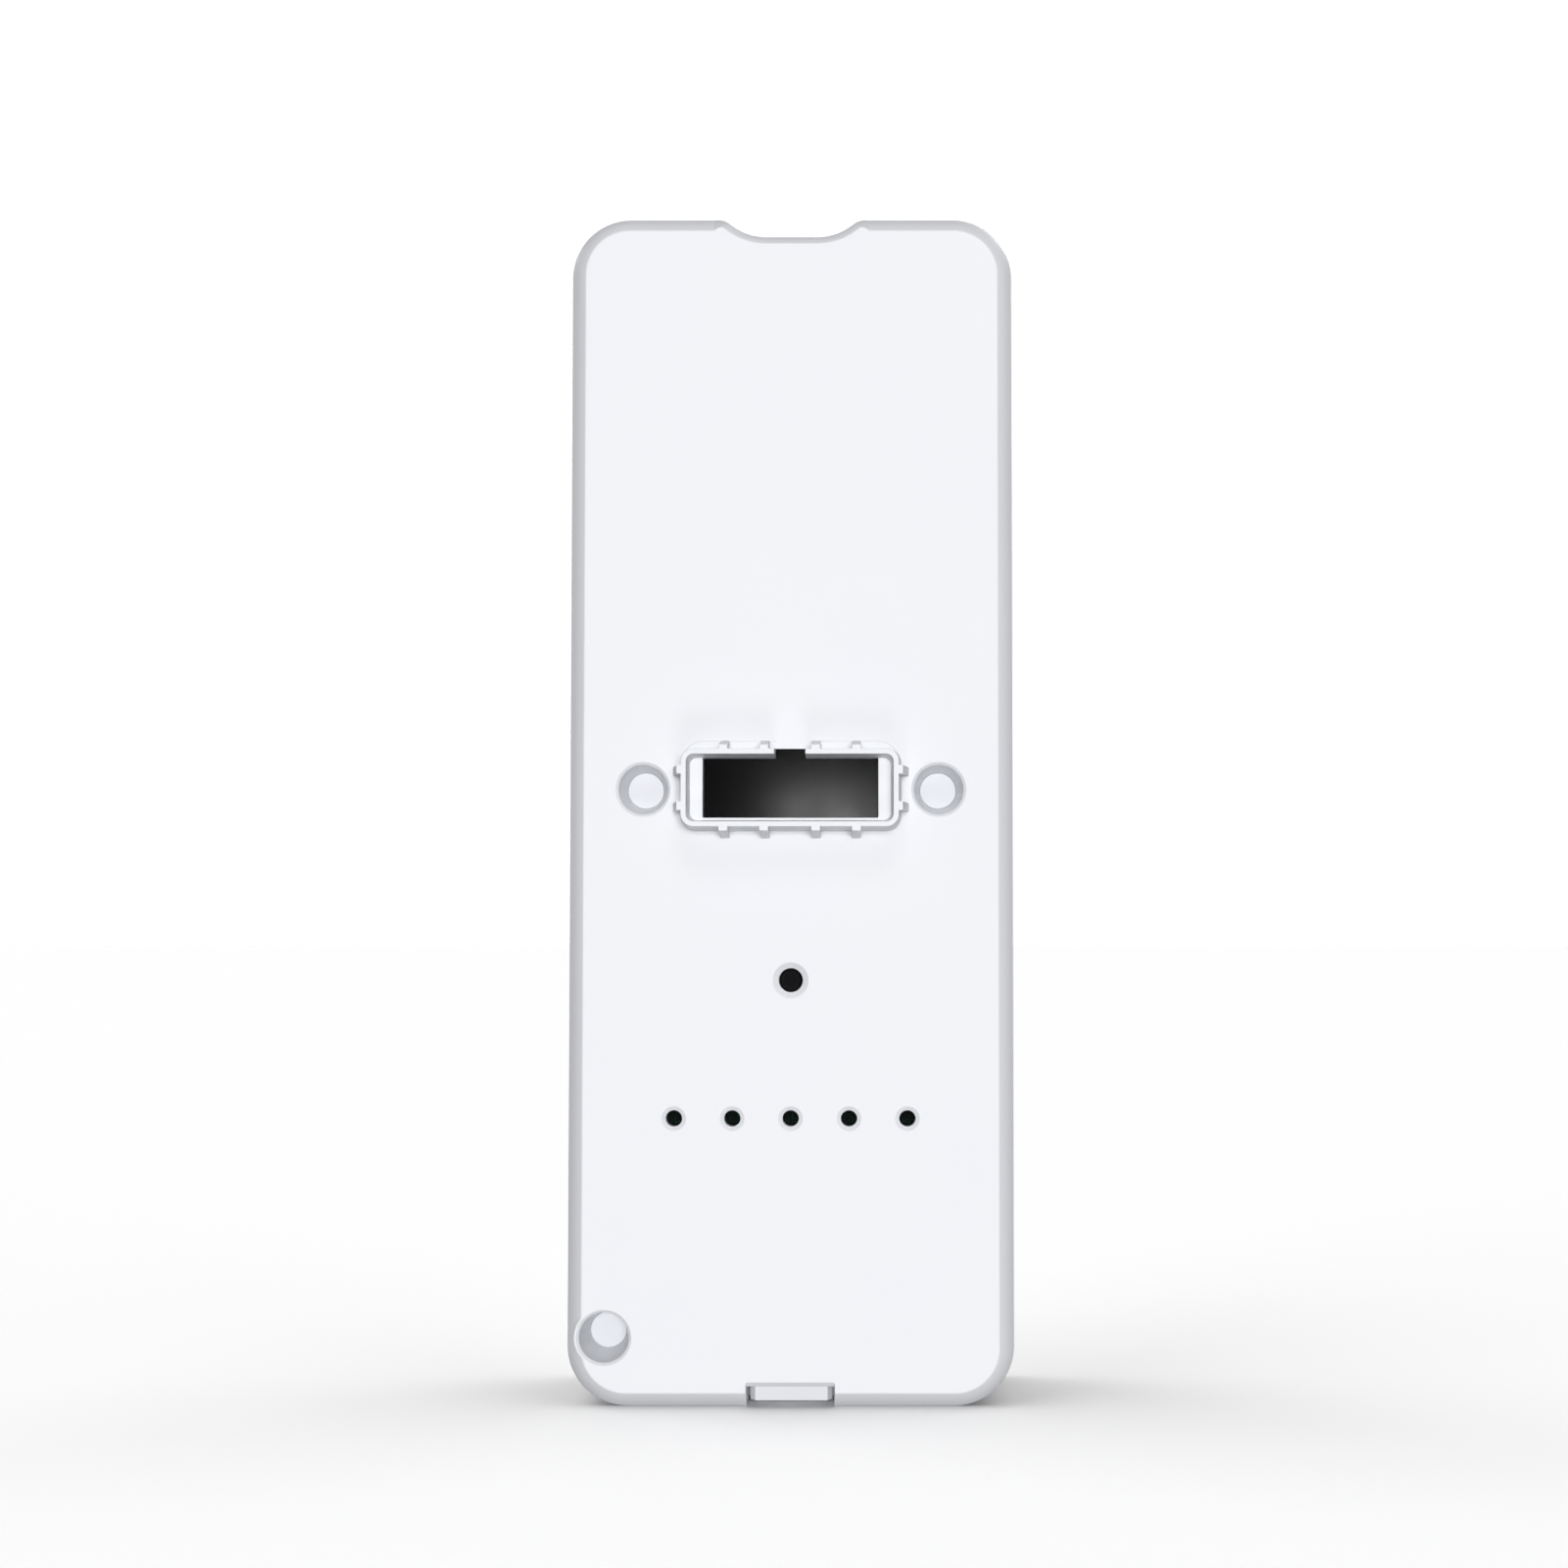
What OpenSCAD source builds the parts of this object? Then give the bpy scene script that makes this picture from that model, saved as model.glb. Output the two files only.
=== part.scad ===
// Wired video doorbell, seen from behind in its natural pose: it stands on its lower end,
// the front faces -Y, the wall side faces +Y and +Z is up. Millimetres.
// Depths run from the wall face (0) towards the front; the collar stands proud at negative depths.

/* [Housing] */
// Width of the housing
body_w = 48.5; // [48.5:0.5:50]
// Height of the housing
body_h = 130; // [130:1:134]
// Depth from the wall face to the front face
body_d = 22; // [22:0.5:23]
// Radius of the four corners
corner_r = 6.5; // [6:0.25:7]
// Wall thickness of both housings
wall = 2; // [1.8:0.1:2]
// Depth at which the rear and the front housing meet
split_d = 13; // [12.8:0.1:13.2]
// Width of the bevel round the wall face
bevel_w = 1.7; // [1.2:0.1:1.8]
// Depth of the bevel round the wall face
bevel_d = 2.1; // [1.6:0.1:2.2]
// Width of the bevel inside the dip
dip_bevel_w = 1; // [0.6:0.1:1.2]
// Edge radius of the front face
front_edge = 2.2; // [1.6:0.1:2.4]

/* [Dip in the top edge] */
// Depth of the dip
dip_h = 2.1; // [1.9:0.1:2.2]
// Half the flat length at its bottom
dip_flat = 2.8; // [2.4:0.1:3.2]
// Radius of the valley
dip_valley_r = 6.2; // [5.8:0.1:6.4]
// Radius of the shoulders
dip_shoulder_r = 2.6; // [2.6:0.1:2.8]
// Slope of its sides
dip_slope = 36; // [34:1:38]

/* [Wiring collar] */
// Height of the collar above the wall face
collar_h = 5; // [4.6:0.1:5.4]
// Width across the collar's face
collar_w = 23.4; // [23.2:0.1:23.6]
// Height across the collar's face
collar_t = 8.37; // [8.3:0.01:8.5]
// Thickness of the collar's wall at its face
collar_wall = 0.58; // [0.5:0.02:0.62]
// Height of the collar's centre above the base
collar_z = 66.85; // [66.6:0.05:67.2]
// Reach of the low pad above the collar's face outline
pad_reach = 1.08; // [0.9:0.02:1.15]
// Depth of the ledge below the collar's face
ledge_below = 3; // [2.8:0.1:3.1]
// Width of the window in the ledge
window_w = 19; // [18.8:0.1:19.2]
// Height of the window in the ledge
window_t = 6.5; // [6.4:0.1:6.5]
// Width of the wire slot in the top wall
slot_w = 3.33; // [3:0.01:3.6]
// Width of a crush rib
rib_w = 0.97; // [0.8:0.01:1.1]

/* [Openings in the wall face] */
// Distance of the side wells from the middle
well_x = 16.1; // [16:0.1:16.2]
// Distance of the corner well from the middle
corner_well_x = 20.15; // [20:0.05:20.2]
// Height of the corner well
corner_well_z = 7.6; // [7.5:0.05:7.9]
// Radius of a well's rim
well_rim_r = 3; // [2.9:0.1:3.1]
// Radius of a well's floor
well_floor_r = 2; // [1.9:0.1:2]
// Depth of the side wells
well_d = 4.2; // [4:0.1:4.3]
// Depth of the corner well
corner_well_d = 6.1; // [5.8:0.1:6.2]
// Height of the tamper hole
tamper_z = 46.1; // [45.9:0.1:46.5]
// Radius of the tamper hole
tamper_r = 1.3; // [1.25:0.05:1.35]
// Height of the row of vents
vent_z = 31.15; // [31:0.05:31.5]
// Spacing of the vents
vent_pitch = 6.33; // [6:0.01:6.5]
// Radius of a vent
vent_r = 0.88; // [0.8:0.02:0.94]
// Number of vents
vent_count = 5; // [3:2:5]
// Width of the notch in the lower edge
notch_w = 9.53; // [9.4:0.01:9.6]
// Height of the notch
notch_h = 2.85; // [2.7:0.05:2.9]
// Depth of the catch face inside the notch
catch_d = 4.5; // [4.3:0.1:4.6]

/* [Front] */
// Width of the front panel
panel_w = 41.3; // [40.8:0.1:41.4]
// Height of the front panel
panel_h = 117.6; // [117:0.2:117.6]
// Height of the lens axis
lens_z = 104; // [103.8:0.1:104.2]
// Height of the button axis
button_z = 38; // [37.8:0.1:38.2]
// Radius of the push button
button_r = 11; // [10.8:0.1:11.1]
// Travel of the push button
button_travel = 0.8; // [0.5:0.1:0.8]

/* [Hidden] */
$fn = 64;

button_proud = 0.8;
depth_total = collar_h + body_d + button_proud;
rear_y = depth_total / 2 - collar_h;         // Y of the wall face
gap = 0.1;                                   // assembly clearance
cut = 0.2;                                   // overrun of a cut past the face that it opens
root = 0.5;                                  // overlap of a boss, a column or a lip with its wall
corner_steps = 12;
dip_steps = 6;

bevel_crown = 0.1;                           // height of the bevel's crown above its chord
bevel_slant = sqrt(bevel_w * bevel_w + bevel_d * bevel_d);
dip_shoulder_x = dip_flat + dip_valley_r * sin(dip_slope) + dip_shoulder_r * sin(dip_slope)
    + (dip_h - (dip_valley_r + dip_shoulder_r) * (1 - cos(dip_slope))) / tan(dip_slope);

collar_draft = 0.3;                          // growth of each outer side from face to foot
collar_corner = 1.35;
collar_bore_r = 0.8;                         // corner radius inside the collar
collar_taper = 0.25;                         // narrowing of each inner side down to the ledge
ledge_lip = 0.27;                            // ledge left standing below the window
pad_h = 0.2;
pad_side = 0.2;                              // less than the draft, so the pad shows only above
ledge_d = ledge_below - collar_h;            // depth of the ledge (negative: proud of the wall face)
window_top = collar_z + window_t / 2 + 0.1;
window_low = window_top - window_t;
slot_top = collar_z + collar_t / 2 + 0.24;
rib_face = 0.45;                             // reach of a rib at the collar's face
rib_foot = 1.15;                             // reach of a rib at its foot
rib_root = 0.4;                              // part of a rib inside the collar's wall
rib_x = [-7.15, -2.78, 2.78, 7.15];
rib_z = [-1.95, 1.95];

well_edge_r = 2.7;                           // radius below a well's chamfer
well_chamfer = 0.3;
well_lip = 0.3;                             // rim left standing where the corner well meets the bevel
boss_r = 3.6;
column_r = 3.2;                              // front columns that take the case screws
case_pilot_d = 17.5;                         // end of the case screws' pilot holes
case_tip_d = 17;                             // tip of the case screws
stud_r = 1.9;                                // front studs that take the small screws
plug_t = 0.8;
head_h = 1.6;                                // screw head height
head_r = 1.9;
shank_r = 0.9;
board_d = 9.4;                               // rear side of the main board
board_t = 1.2;
board_w = 42;
board_h = 111;
board_z = 68;
cell_d = 3;
cell_front_d = 8.2;
cell_w = 32;
cell_h = 20;
cell_z = 90;
board_front_d = board_d + board_t;
shelf_d = 19;                                // inner side of the front housing's face
panel_seat_d = body_d - 1.5;                 // floor of the recess for the front panel
panel_rear_d = panel_seat_d + 0.2;
panel_z = 63.6;                              // centre of the front panel
panel_corner = 4.8;
corner_joint_d = 11;                         // where the corner screw's two columns meet
lip_gap = 0.15;                              // clearance of the front housing's lip
lip_h = 2;
lip_t = 1.2;
gasket_inset = 0.6;
gasket_t = 0.8;
lens_seat_r = 10.2;
lens_hole_r = 9.6;
well_list = [                                // x, z, well depth, depth where its column ends
    [well_x, collar_z, well_d, board_d],
    [-well_x, collar_z, well_d, board_d],
    [corner_well_x, corner_well_z, corner_well_d, corner_joint_d]
];

terminal_x = 4.6;
board_posts = [[-17.5, 120.6], [17.5, 120.6], [-17.5, 17], [17.5, 17]];
post_r = 2.1;
pilot_r = 0.7;
small_screw_r = 0.7;
small_head_r = 1.6;
small_head_h = 1.2;

camera_board_d = 11.4;
camera_board_t = 0.8;
camera_front_d = camera_board_d + camera_board_t;
camera_posts = [[-14.5, 95.5], [14.5, 95.5], [-14.5, 115], [14.5, 115]];
led_x = 14.5;
led_r = 2.5;
led_front_d = 20;
light_x = 10.4;
light_z = 115.5;
light_r = 1.2;
slide_d = 13.9;                              // rear side of the filter slot
slide_t = 0.9;
filter_travel = 5.2;
filter_window_r = 3.1;
barrel_d = 15.2;                             // rear side of the lens barrel
barrel_r = 5.5;
holder_d = 17.8;                             // front side of the camera holder

button_board_d = 14.8;
button_board_front_d = 15.8;
button_posts = [[-16.5, 26], [16.5, 26], [-16.5, 50], [16.5, 50]];
ring_outer_r = 13.5;
ring_led_r = 12.4;
ring_led_count = 8;
stem_d = 18;                                 // inner end of the button's stem
switch_plunger_d = 17;
speaker_z = 15.2;
speaker_w = 28;
speaker_h = 12;
speaker_d = 12.2;                            // rear side of the speaker
speaker_front_d = 17.8;
cone_w = 25.6;
cone_h = 9.6;
cone_d = 16.8;
magnet_d = 13;
grille_count = 7;
grille_pitch = 3;
grille_r = 0.65;
grille_half = 1.8;
mic_z = 84;
mic_hole_r = 0.7;

notch_chamfer = 0.5;
catch_half = 4.5;
catch_side = [0.55, 0.9];                    // width and depth of the tongue's sloped sides
catch_play = 0.3;
catch_rear_d = 8.5;
catch_low = 0.1;
catch_top = 5.6;
catch_travel = 1.5;
catch_post = 1.4;                            // height of the post inside the catch's spring
catch_ceiling = catch_top + catch_post + catch_travel + 1;
guide_x = 7;                                 // distance of the catch guide's cheeks from the middle
guide_t = 1.4;
guide_low = 1.1;
guide_bridge = 8;                            // top of the bridge behind the tongue
guide_cap = 1.2;
guide_back = 1.1;
tamper_travel = 1;
tamper_mouth_r = 1.95;
tamper_boss_d = 5.4;                         // inner end of the boss round the tamper spring
tamper_tip_r = 1;
tamper_flange_r = 2.4;
vent_mouth_r = 1.34;
tamper_end_d = 5.5;                          // inner end of the tamper plunger
tamper_spring_d = 2.9;                       // front side of the plunger's flange
tamper_switch_d = 7;

white = [0.95, 0.955, 0.965];
black = [0.05, 0.05, 0.055];
board_green = [0.05, 0.25, 0.15];
steel = [0.7, 0.71, 0.73];

// ---- helpers ----

// A flat outline in x and z, extruded from depth d0 to depth d1
module layer(d0, d1) {
    translate([0, rear_y - d0, 0]) rotate([90, 0, 0]) linear_extrude(d1 - d0) children();
}

// A round bar or cone along the depth
module bar(x, z, d0, d1, r0, r1 = -1) {
    translate([x, rear_y - d0, z]) rotate([90, 0, 0])
        cylinder(h = d1 - d0, r1 = r0, r2 = r1 < 0 ? r0 : r1);
}

// A block centred on x and z
module block(x, z, w, h, d0, d1) {
    translate([x - w / 2, rear_y - d1, z - h / 2]) cube([w, d1 - d0, h]);
}

// Points of an arc about c, with the radius and the dip weight running from start to end
function arc(c, r, angle, steps, weight = [0, 0]) = [
    for (i = [0:steps]) let (t = i / steps, a = angle[0] + (angle[1] - angle[0]) * t,
        s = r[0] + (r[1] - r[0]) * t)
    [c[0] + s * cos(a), c[1] + s * sin(a), weight[0] + (weight[1] - weight[0]) * t]
];

// The housing's outline set in by o, and by p inside the dip
function outline(o, p) = let (
    cx = body_w / 2 - corner_r, ch = body_h - corner_r, r = corner_r - o,
    sz = body_h - dip_shoulder_r, vz = body_h - dip_h + dip_valley_r,
    s0 = dip_shoulder_r - o, s1 = dip_shoulder_r - p, v = dip_valley_r + p)
concat(
    [[0, o, 0]],
    arc([cx, corner_r], [r, r], [-90, 0], corner_steps),
    arc([cx, ch], [r, r], [0, 90], corner_steps),
    arc([dip_shoulder_x, sz], [s0, s1], [90, 90 + dip_slope], dip_steps, [0, 1]),
    arc([dip_flat, vz], [v, v], [dip_slope - 90, -90], dip_steps, [1, 1]),
    arc([-dip_flat, vz], [v, v], [-90, -90 - dip_slope], dip_steps, [1, 1]),
    arc([-dip_shoulder_x, sz], [s1, s0], [90 - dip_slope, 90], dip_steps, [1, 0]),
    arc([-cx, ch], [r, r], [90, 180], corner_steps),
    arc([-cx, corner_r], [r, r], [180, 270], corner_steps)
);

function flat(points) = [for (p = points) [p[0], p[1]]];

// A rounded rectangle between z0 and z1, with its own radius for the lower and the upper corners
function slab(half_w, z0, z1, low_r, high_r, steps = 6) = concat(
    arc([half_w - low_r, z0 + low_r], [low_r, low_r], [-90, 0], steps),
    arc([half_w - high_r, z1 - high_r], [high_r, high_r], [0, 90], steps),
    arc([high_r - half_w, z1 - high_r], [high_r, high_r], [90, 180], steps),
    arc([low_r - half_w, z0 + low_r], [low_r, low_r], [180, 270], steps)
);

module rounded(w, h, z, r) {
    polygon(flat(slab(w / 2, z - h / 2, z + h / 2, r, r)));
}

// Puts an outline at depth d, or at depth q where its dip weight is 1
function ring(points, d, q) = [
    for (p = points) [p[0], rear_y - d - (q - d) * p[2], p[1]]
];

// A solid through rings of equally many points, the first ring rearmost
module loft(rings) {
    n = len(rings[0]);
    last = (len(rings) - 1) * n;
    polyhedron(
        points = [for (r = rings) for (p = r) p],
        faces = concat(
            [[for (i = [0:n - 1]) i]],
            [concat([last], [for (i = [1:n - 1]) last + n - i])],
            [for (k = [0:len(rings) - 2]) for (i = [0:n - 1]) let (
                a = k * n + i, b = k * n + (i + 1) % n) each [[a + n, b + n, b], [a + n, b, a]]]
        )
    );
}

// A compression spring along +Z, its wire a ring of points swept round the helix
module coil(r, wire_r, turns, length, steps = 16, sides = 6) {
    count = turns * steps;
    rise = length - 2 * wire_r;
    points = [for (i = [0:count]) for (j = [0:sides - 1]) let (
        a = 360 * i / steps, b = 360 * j / sides, q = r + wire_r * cos(b))
        [q * cos(a), q * sin(a), wire_r + rise * i / count + wire_r * sin(b)]];
    end = count * sides;
    polyhedron(points = points, faces = concat(
        [[for (j = [0:sides - 1]) j]],
        [[for (j = [0:sides - 1]) end + sides - 1 - j]],
        [for (i = [0:count - 1]) for (j = [0:sides - 1]) let (
            a = i * sides + j, b = i * sides + (j + 1) % sides)
            each [[a, a + sides, b + sides], [a, b + sides, b]]]
    ));
}

// A spring along the depth, between two depths
module depth_coil(x, z, d0, d1, r, wire_r, turns, steps = 16) {
    translate([x, rear_y - d0, z]) rotate([90, 0, 0]) coil(r, wire_r, turns, d1 - d0, steps);
}

// Small screws with a round head, the head's rear side at head_d and the shank running to tip_d
module small_screws(places, head_d, shank_d, tip_d) {
    for (p = places) {
        difference() {
            bar(p[0], p[1], head_d, shank_d, small_head_r);
            cross_slot(p[0], p[1], head_d, 0.6);
        }
        bar(p[0], p[1], shank_d, tip_d, small_screw_r);
    }
}

// A cross recess in a screw head, starting at depth d
module cross_slot(x, z, d, deep, span = 1.8) {
    block(x, z, span, 0.45, d - cut, d + deep);
    block(x, z, 0.45, span, d - cut, d + deep);
}

// ---- housings ----

module rear_skin() {
    share = dip_bevel_w / bevel_w;               // the bevel is smaller inside the dip
    inset = bevel_w / 2 - bevel_crown * bevel_d / bevel_slant;
    depth = bevel_d / 2 - bevel_crown * bevel_w / bevel_slant;
    loft([
        ring(outline(bevel_w, dip_bevel_w), 0, 0),
        ring(outline(inset, inset * share), depth, depth * share),
        ring(outline(0, 0), bevel_d, bevel_d * share),
        ring(outline(0, 0), split_d, split_d)
    ]);
}

module collar_solid() {
    low = collar_z - collar_t / 2;
    high = collar_z + collar_t / 2;
    foot = slab(collar_w / 2 + collar_draft, low - collar_draft, high + collar_draft,
        collar_corner + collar_draft, collar_corner + collar_draft);
    loft([
        ring(slab(collar_w / 2, low, high, collar_corner, collar_corner), -collar_h, 0),
        ring(foot, 0, 0),
        ring(foot, wall / 2, 0)
    ]);
    // the pad's lower half is hidden inside the collar
    layer(-pad_h, wall / 2) polygon(flat(slab(collar_w / 2 + pad_side, collar_z, high + pad_reach,
        collar_corner, collar_corner + pad_reach)));
}

module collar_void() {
    half = collar_w / 2 - collar_wall;
    low = collar_z - collar_t / 2 + collar_wall;
    high = collar_z + collar_t / 2 - collar_wall;
    loft([
        ring(slab(half, low, high, collar_bore_r, collar_bore_r), -collar_h - cut, 0),
        ring(slab(half - collar_taper, window_low - ledge_lip, window_top, collar_bore_r,
            collar_bore_r), ledge_d, 0)
    ]);
    layer(ledge_d - cut, wall + cut)
        translate([-window_w / 2, window_low]) square([window_w, window_t]);
    layer(-collar_h - cut, 0)
        translate([-slot_w / 2, window_top - cut]) square([slot_w, collar_t / 2]);
    layer(-cut, wall + cut)
        translate([-slot_w / 2, window_top - cut]) square([slot_w, slot_top - window_top + cut]);
}

// One crush rib, reaching towards +Z from the collar's face outline
module rib() {
    translate([-rib_w / 2, 0, 0]) rotate([90, 0, 90]) linear_extrude(rib_w) polygon([
        [rear_y + collar_h, -rib_root], [rear_y + collar_h, rib_face], [rear_y, rib_foot],
        [rear_y - wall / 2, rib_foot], [rear_y - wall / 2, rib_root - collar_wall]
    ]);
}

module ribs() {
    for (x = rib_x) {
        translate([x, 0, collar_z + collar_t / 2]) rib();
        translate([x, 0, collar_z - collar_t / 2]) rotate([0, 180, 0]) rib();
    }
    for (z = rib_z) {
        translate([collar_w / 2, 0, collar_z + z]) rotate([0, 90, 0]) rib();
        translate([-collar_w / 2, 0, collar_z + z]) rotate([0, -90, 0]) rib();
    }
}

// A tapered blind well with its plug seat, head seat and shank hole
module well_cut(x, z, d, end_d) {
    bar(x, z, -cut, well_chamfer, well_rim_r + (well_rim_r - well_edge_r) * cut / well_chamfer,
        well_edge_r);
    bar(x, z, well_chamfer, d, well_edge_r, well_floor_r);
    bar(x, z, d, d + plug_t + head_h, well_floor_r);
    bar(x, z, d + plug_t + head_h, end_d + cut, shank_r + gap);
}

// A round hole through the wall face with a chamfered mouth
module chamfered_hole(x, z, r, mouth_r, deep) {
    slope = (mouth_r - r) / deep;
    bar(x, z, -cut, deep, mouth_r + slope * cut, r);
    bar(x, z, 0, wall + cut, r);
}

module notch_cut() {
    layer(-cut, catch_rear_d + catch_play)
        translate([-notch_w / 2, -cut]) square([notch_w, notch_h - notch_chamfer + cut]);
    // the upper edge is chamfered at the wall face
    translate([-notch_w / 2, 0, 0]) rotate([90, 0, 90]) linear_extrude(notch_w) polygon([
        [rear_y + cut, -cut], [rear_y + cut, notch_h + cut],
        [rear_y - notch_chamfer, notch_h - notch_chamfer], [rear_y - notch_chamfer, -cut]
    ]);
}

// Box that guides the release catch and holds its spring
module catch_guide() {
    sill = notch_h - notch_chamfer;
    high = catch_ceiling + guide_cap;
    span = 2 * guide_x + guide_t;
    mid = (guide_low + high) / 2;
    front_d = catch_rear_d + catch_play;
    for (s = [-1, 1]) block(s * guide_x, mid, guide_t, high - guide_low, wall - root, front_d);
    block(0, (sill + guide_bridge) / 2, span, guide_bridge - sill, wall - root, catch_d - catch_play);
    block(0, high - guide_cap / 2, span, guide_cap, wall - root, front_d);
    block(0, mid, span, high - guide_low, front_d, front_d + guide_back);
}

module rear_housing() {
    color(white) difference() {
        union() {
            difference() {
                rear_skin();
                layer(wall, split_d + cut) polygon(flat(outline(wall, wall)));
            }
            collar_solid();
            ribs();
            for (w = well_list) bar(w[0], w[1], wall - root, w[3], boss_r);
            for (p = board_posts) bar(p[0], p[1], wall - root, board_d, post_r);
            bar(corner_well_x, corner_well_z, 0, wall, well_rim_r + well_lip);
            bar(0, tamper_z, wall - root, tamper_boss_d, boss_r);
            catch_guide();
        }
        collar_void();
        for (w = well_list) well_cut(w[0], w[1], w[2], w[3]);
        for (p = board_posts) bar(p[0], p[1], 4, board_d + cut, pilot_r);
        chamfered_hole(0, tamper_z, tamper_r, tamper_mouth_r, 0.6);
        bar(0, tamper_z, wall, tamper_boss_d + cut, tamper_flange_r + 0.4);
        for (i = [0:vent_count - 1])
            chamfered_hole((i - (vent_count - 1) / 2) * vent_pitch, vent_z, vent_r, vent_mouth_r, 0.4);
        notch_cut();
    }
}

// Small holes through the front face, shared by the front housing and the front panel
module front_ports(extra = 0) {
    for (i = [0:grille_count - 1]) translate([(i - (grille_count - 1) / 2) * grille_pitch, speaker_z]) {
        square([2 * (grille_r + extra), 2 * grille_half], center = true);
        for (s = [-1, 1]) translate([0, s * grille_half]) circle(grille_r + extra);
    }
    translate([0, mic_z]) circle(mic_hole_r + extra);
    translate([light_x, light_z]) circle(light_r + gap);
}

module front_skin() {
    loft([
        ring(outline(0, 0), split_d, split_d),
        ring(outline(0, 0), body_d - front_edge, body_d - front_edge),
        for (a = [30, 60, 90]) ring(outline(front_edge * (1 - cos(a)), front_edge * (1 - cos(a))),
            body_d - front_edge * (1 - sin(a)), body_d - front_edge * (1 - sin(a)))
    ]);
}

// Lip of the front housing that plugs into the rear housing
module front_lip() {
    difference() {
        layer(split_d - lip_h, split_d + root) polygon(flat(outline(wall + lip_gap, wall + lip_gap)));
        layer(split_d - lip_h - cut, split_d + 1)
            rounded(body_w - 2 * (wall + lip_t), body_h - 2 * (wall + lip_t) - dip_h,
                (body_h - dip_h) / 2, corner_r - wall - 1);
    }
}

module front_housing() {
    color(white) difference() {
        union() {
            difference() {
                front_skin();
                layer(split_d - cut, shelf_d) polygon(flat(outline(wall, wall)));
                layer(panel_seat_d, body_d + cut)
                    rounded(panel_w + 2 * gap, panel_h + 2 * gap, panel_z, panel_corner + gap);
            }
            front_lip();
            for (s = [-1, 1]) bar(s * well_x, collar_z, board_front_d, shelf_d + root, column_r);
            bar(corner_well_x, corner_well_z, split_d, shelf_d + root, column_r);
            // behind the split this column stays clear of the rear housing's wall
            intersection() {
                bar(corner_well_x, corner_well_z, corner_joint_d, split_d + root, column_r);
                layer(corner_joint_d, split_d + root)
                    polygon(flat(outline(wall + lip_gap, wall + lip_gap)));
            }
            for (p = camera_posts) bar(p[0], p[1], camera_front_d, shelf_d + root, stud_r);
            for (p = button_posts) bar(p[0], p[1], button_board_front_d, shelf_d + root, stud_r);
        }
        for (w = well_list) bar(w[0], w[1], w[3] - root, case_pilot_d, shank_r);
        for (p = camera_posts) bar(p[0], p[1], camera_front_d - cut, 18, small_screw_r);
        for (p = button_posts) bar(p[0], p[1], button_board_front_d - cut, 18.6, small_screw_r);
        layer(split_d, split_d + gasket_t) gasket_outline();
        layer(shelf_d - cut, panel_seat_d + cut) {
            translate([0, lens_z]) circle(lens_seat_r);
            translate([0, button_z]) circle(ring_outer_r + gap);
            for (s = [-1, 1]) translate([s * led_x, lens_z]) circle(led_r + 0.2);
        }
        layer(shelf_d - cut, panel_seat_d + cut) front_ports();
        block(0, speaker_z, 22, 6.2, panel_seat_d - 0.5, panel_seat_d + cut);
    }
}

module front_panel() {
    color(black) layer(panel_rear_d, body_d) difference() {
        rounded(panel_w, panel_h, panel_z, panel_corner);
        translate([0, lens_z]) circle(lens_hole_r);
        translate([0, button_z]) circle(ring_outer_r + gap);
        front_ports();
    }
}

module panel_tape() {
    color([0.1, 0.1, 0.1]) layer(panel_seat_d, panel_rear_d) difference() {
        rounded(panel_w - 0.6, panel_h - 0.6, panel_z, panel_corner - 0.3);
        rounded(panel_w - 3.6, panel_h - 3.6, panel_z, panel_corner - 1.8);
    }
}

module gasket_outline() {
    inner = gasket_inset + gasket_t;
    difference() {
        polygon(flat(outline(gasket_inset, gasket_inset)));
        polygon(flat(outline(inner, inner)));
    }
}

module housing_gasket() {
    color([0.2, 0.2, 0.22]) layer(split_d, split_d + gasket_t) gasket_outline();
}

module housing_screws() {
    color(steel) for (w = well_list) {
        head_d = w[2] + plug_t + gap;
        seat_d = w[2] + plug_t + head_h;
        difference() {
            bar(w[0], w[1], head_d, seat_d, head_r);
            cross_slot(w[0], w[1], head_d, 0.9, 2.2);
        }
        bar(w[0], w[1], seat_d, case_tip_d, shank_r);
    }
}

module screw_plugs() {
    color(white) for (w = well_list) bar(w[0], w[1], w[2], w[2] + plug_t, well_floor_r);
}

// ---- wiring and power ----

module terminal_cover() {
    fit = 0.05;
    color(black) {
        layer(0, wall) translate([-window_w / 2 + fit, window_low + fit])
            square([window_w - 2 * fit, window_t - 2 * fit]);
        layer(0, wall) translate([-slot_w / 2 + fit, window_top - 1])
            square([slot_w - 2 * fit, slot_top - window_top + 1 - fit]);
        layer(wall, wall + 0.6) rounded(window_w + 2.4, window_t + 3.4, collar_z + 0.2, 0.8);
    }
}

module terminal_block() {
    color([0.12, 0.13, 0.14]) difference() {
        block(0, collar_z, 18.6, 11.6, wall + 0.9, board_d);
        for (s = [-1, 1]) {
            bar(s * terminal_x, collar_z, wall, 4.9, 2.9);
            bar(s * terminal_x, collar_z, 4.8, board_d - 0.3, 1.25);
            block(s * terminal_x, collar_z + 5, 3, 4, 5.6, 8.2);
        }
    }
}

module terminal_screws() {
    color(steel) for (s = [-1, 1]) {
        difference() {
            bar(s * terminal_x, collar_z, 3.3, 4.8, 2.6);
            block(s * terminal_x, collar_z, 6, 0.6, 3, 4.1);
        }
        bar(s * terminal_x, collar_z, 4.8, board_d - 0.5, 1.2);
    }
}

module vent_mesh() {
    color(black) layer(wall, wall + 0.3)
        rounded((vent_count - 1) * vent_pitch + 5, 5, vent_z, 1);
}

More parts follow.
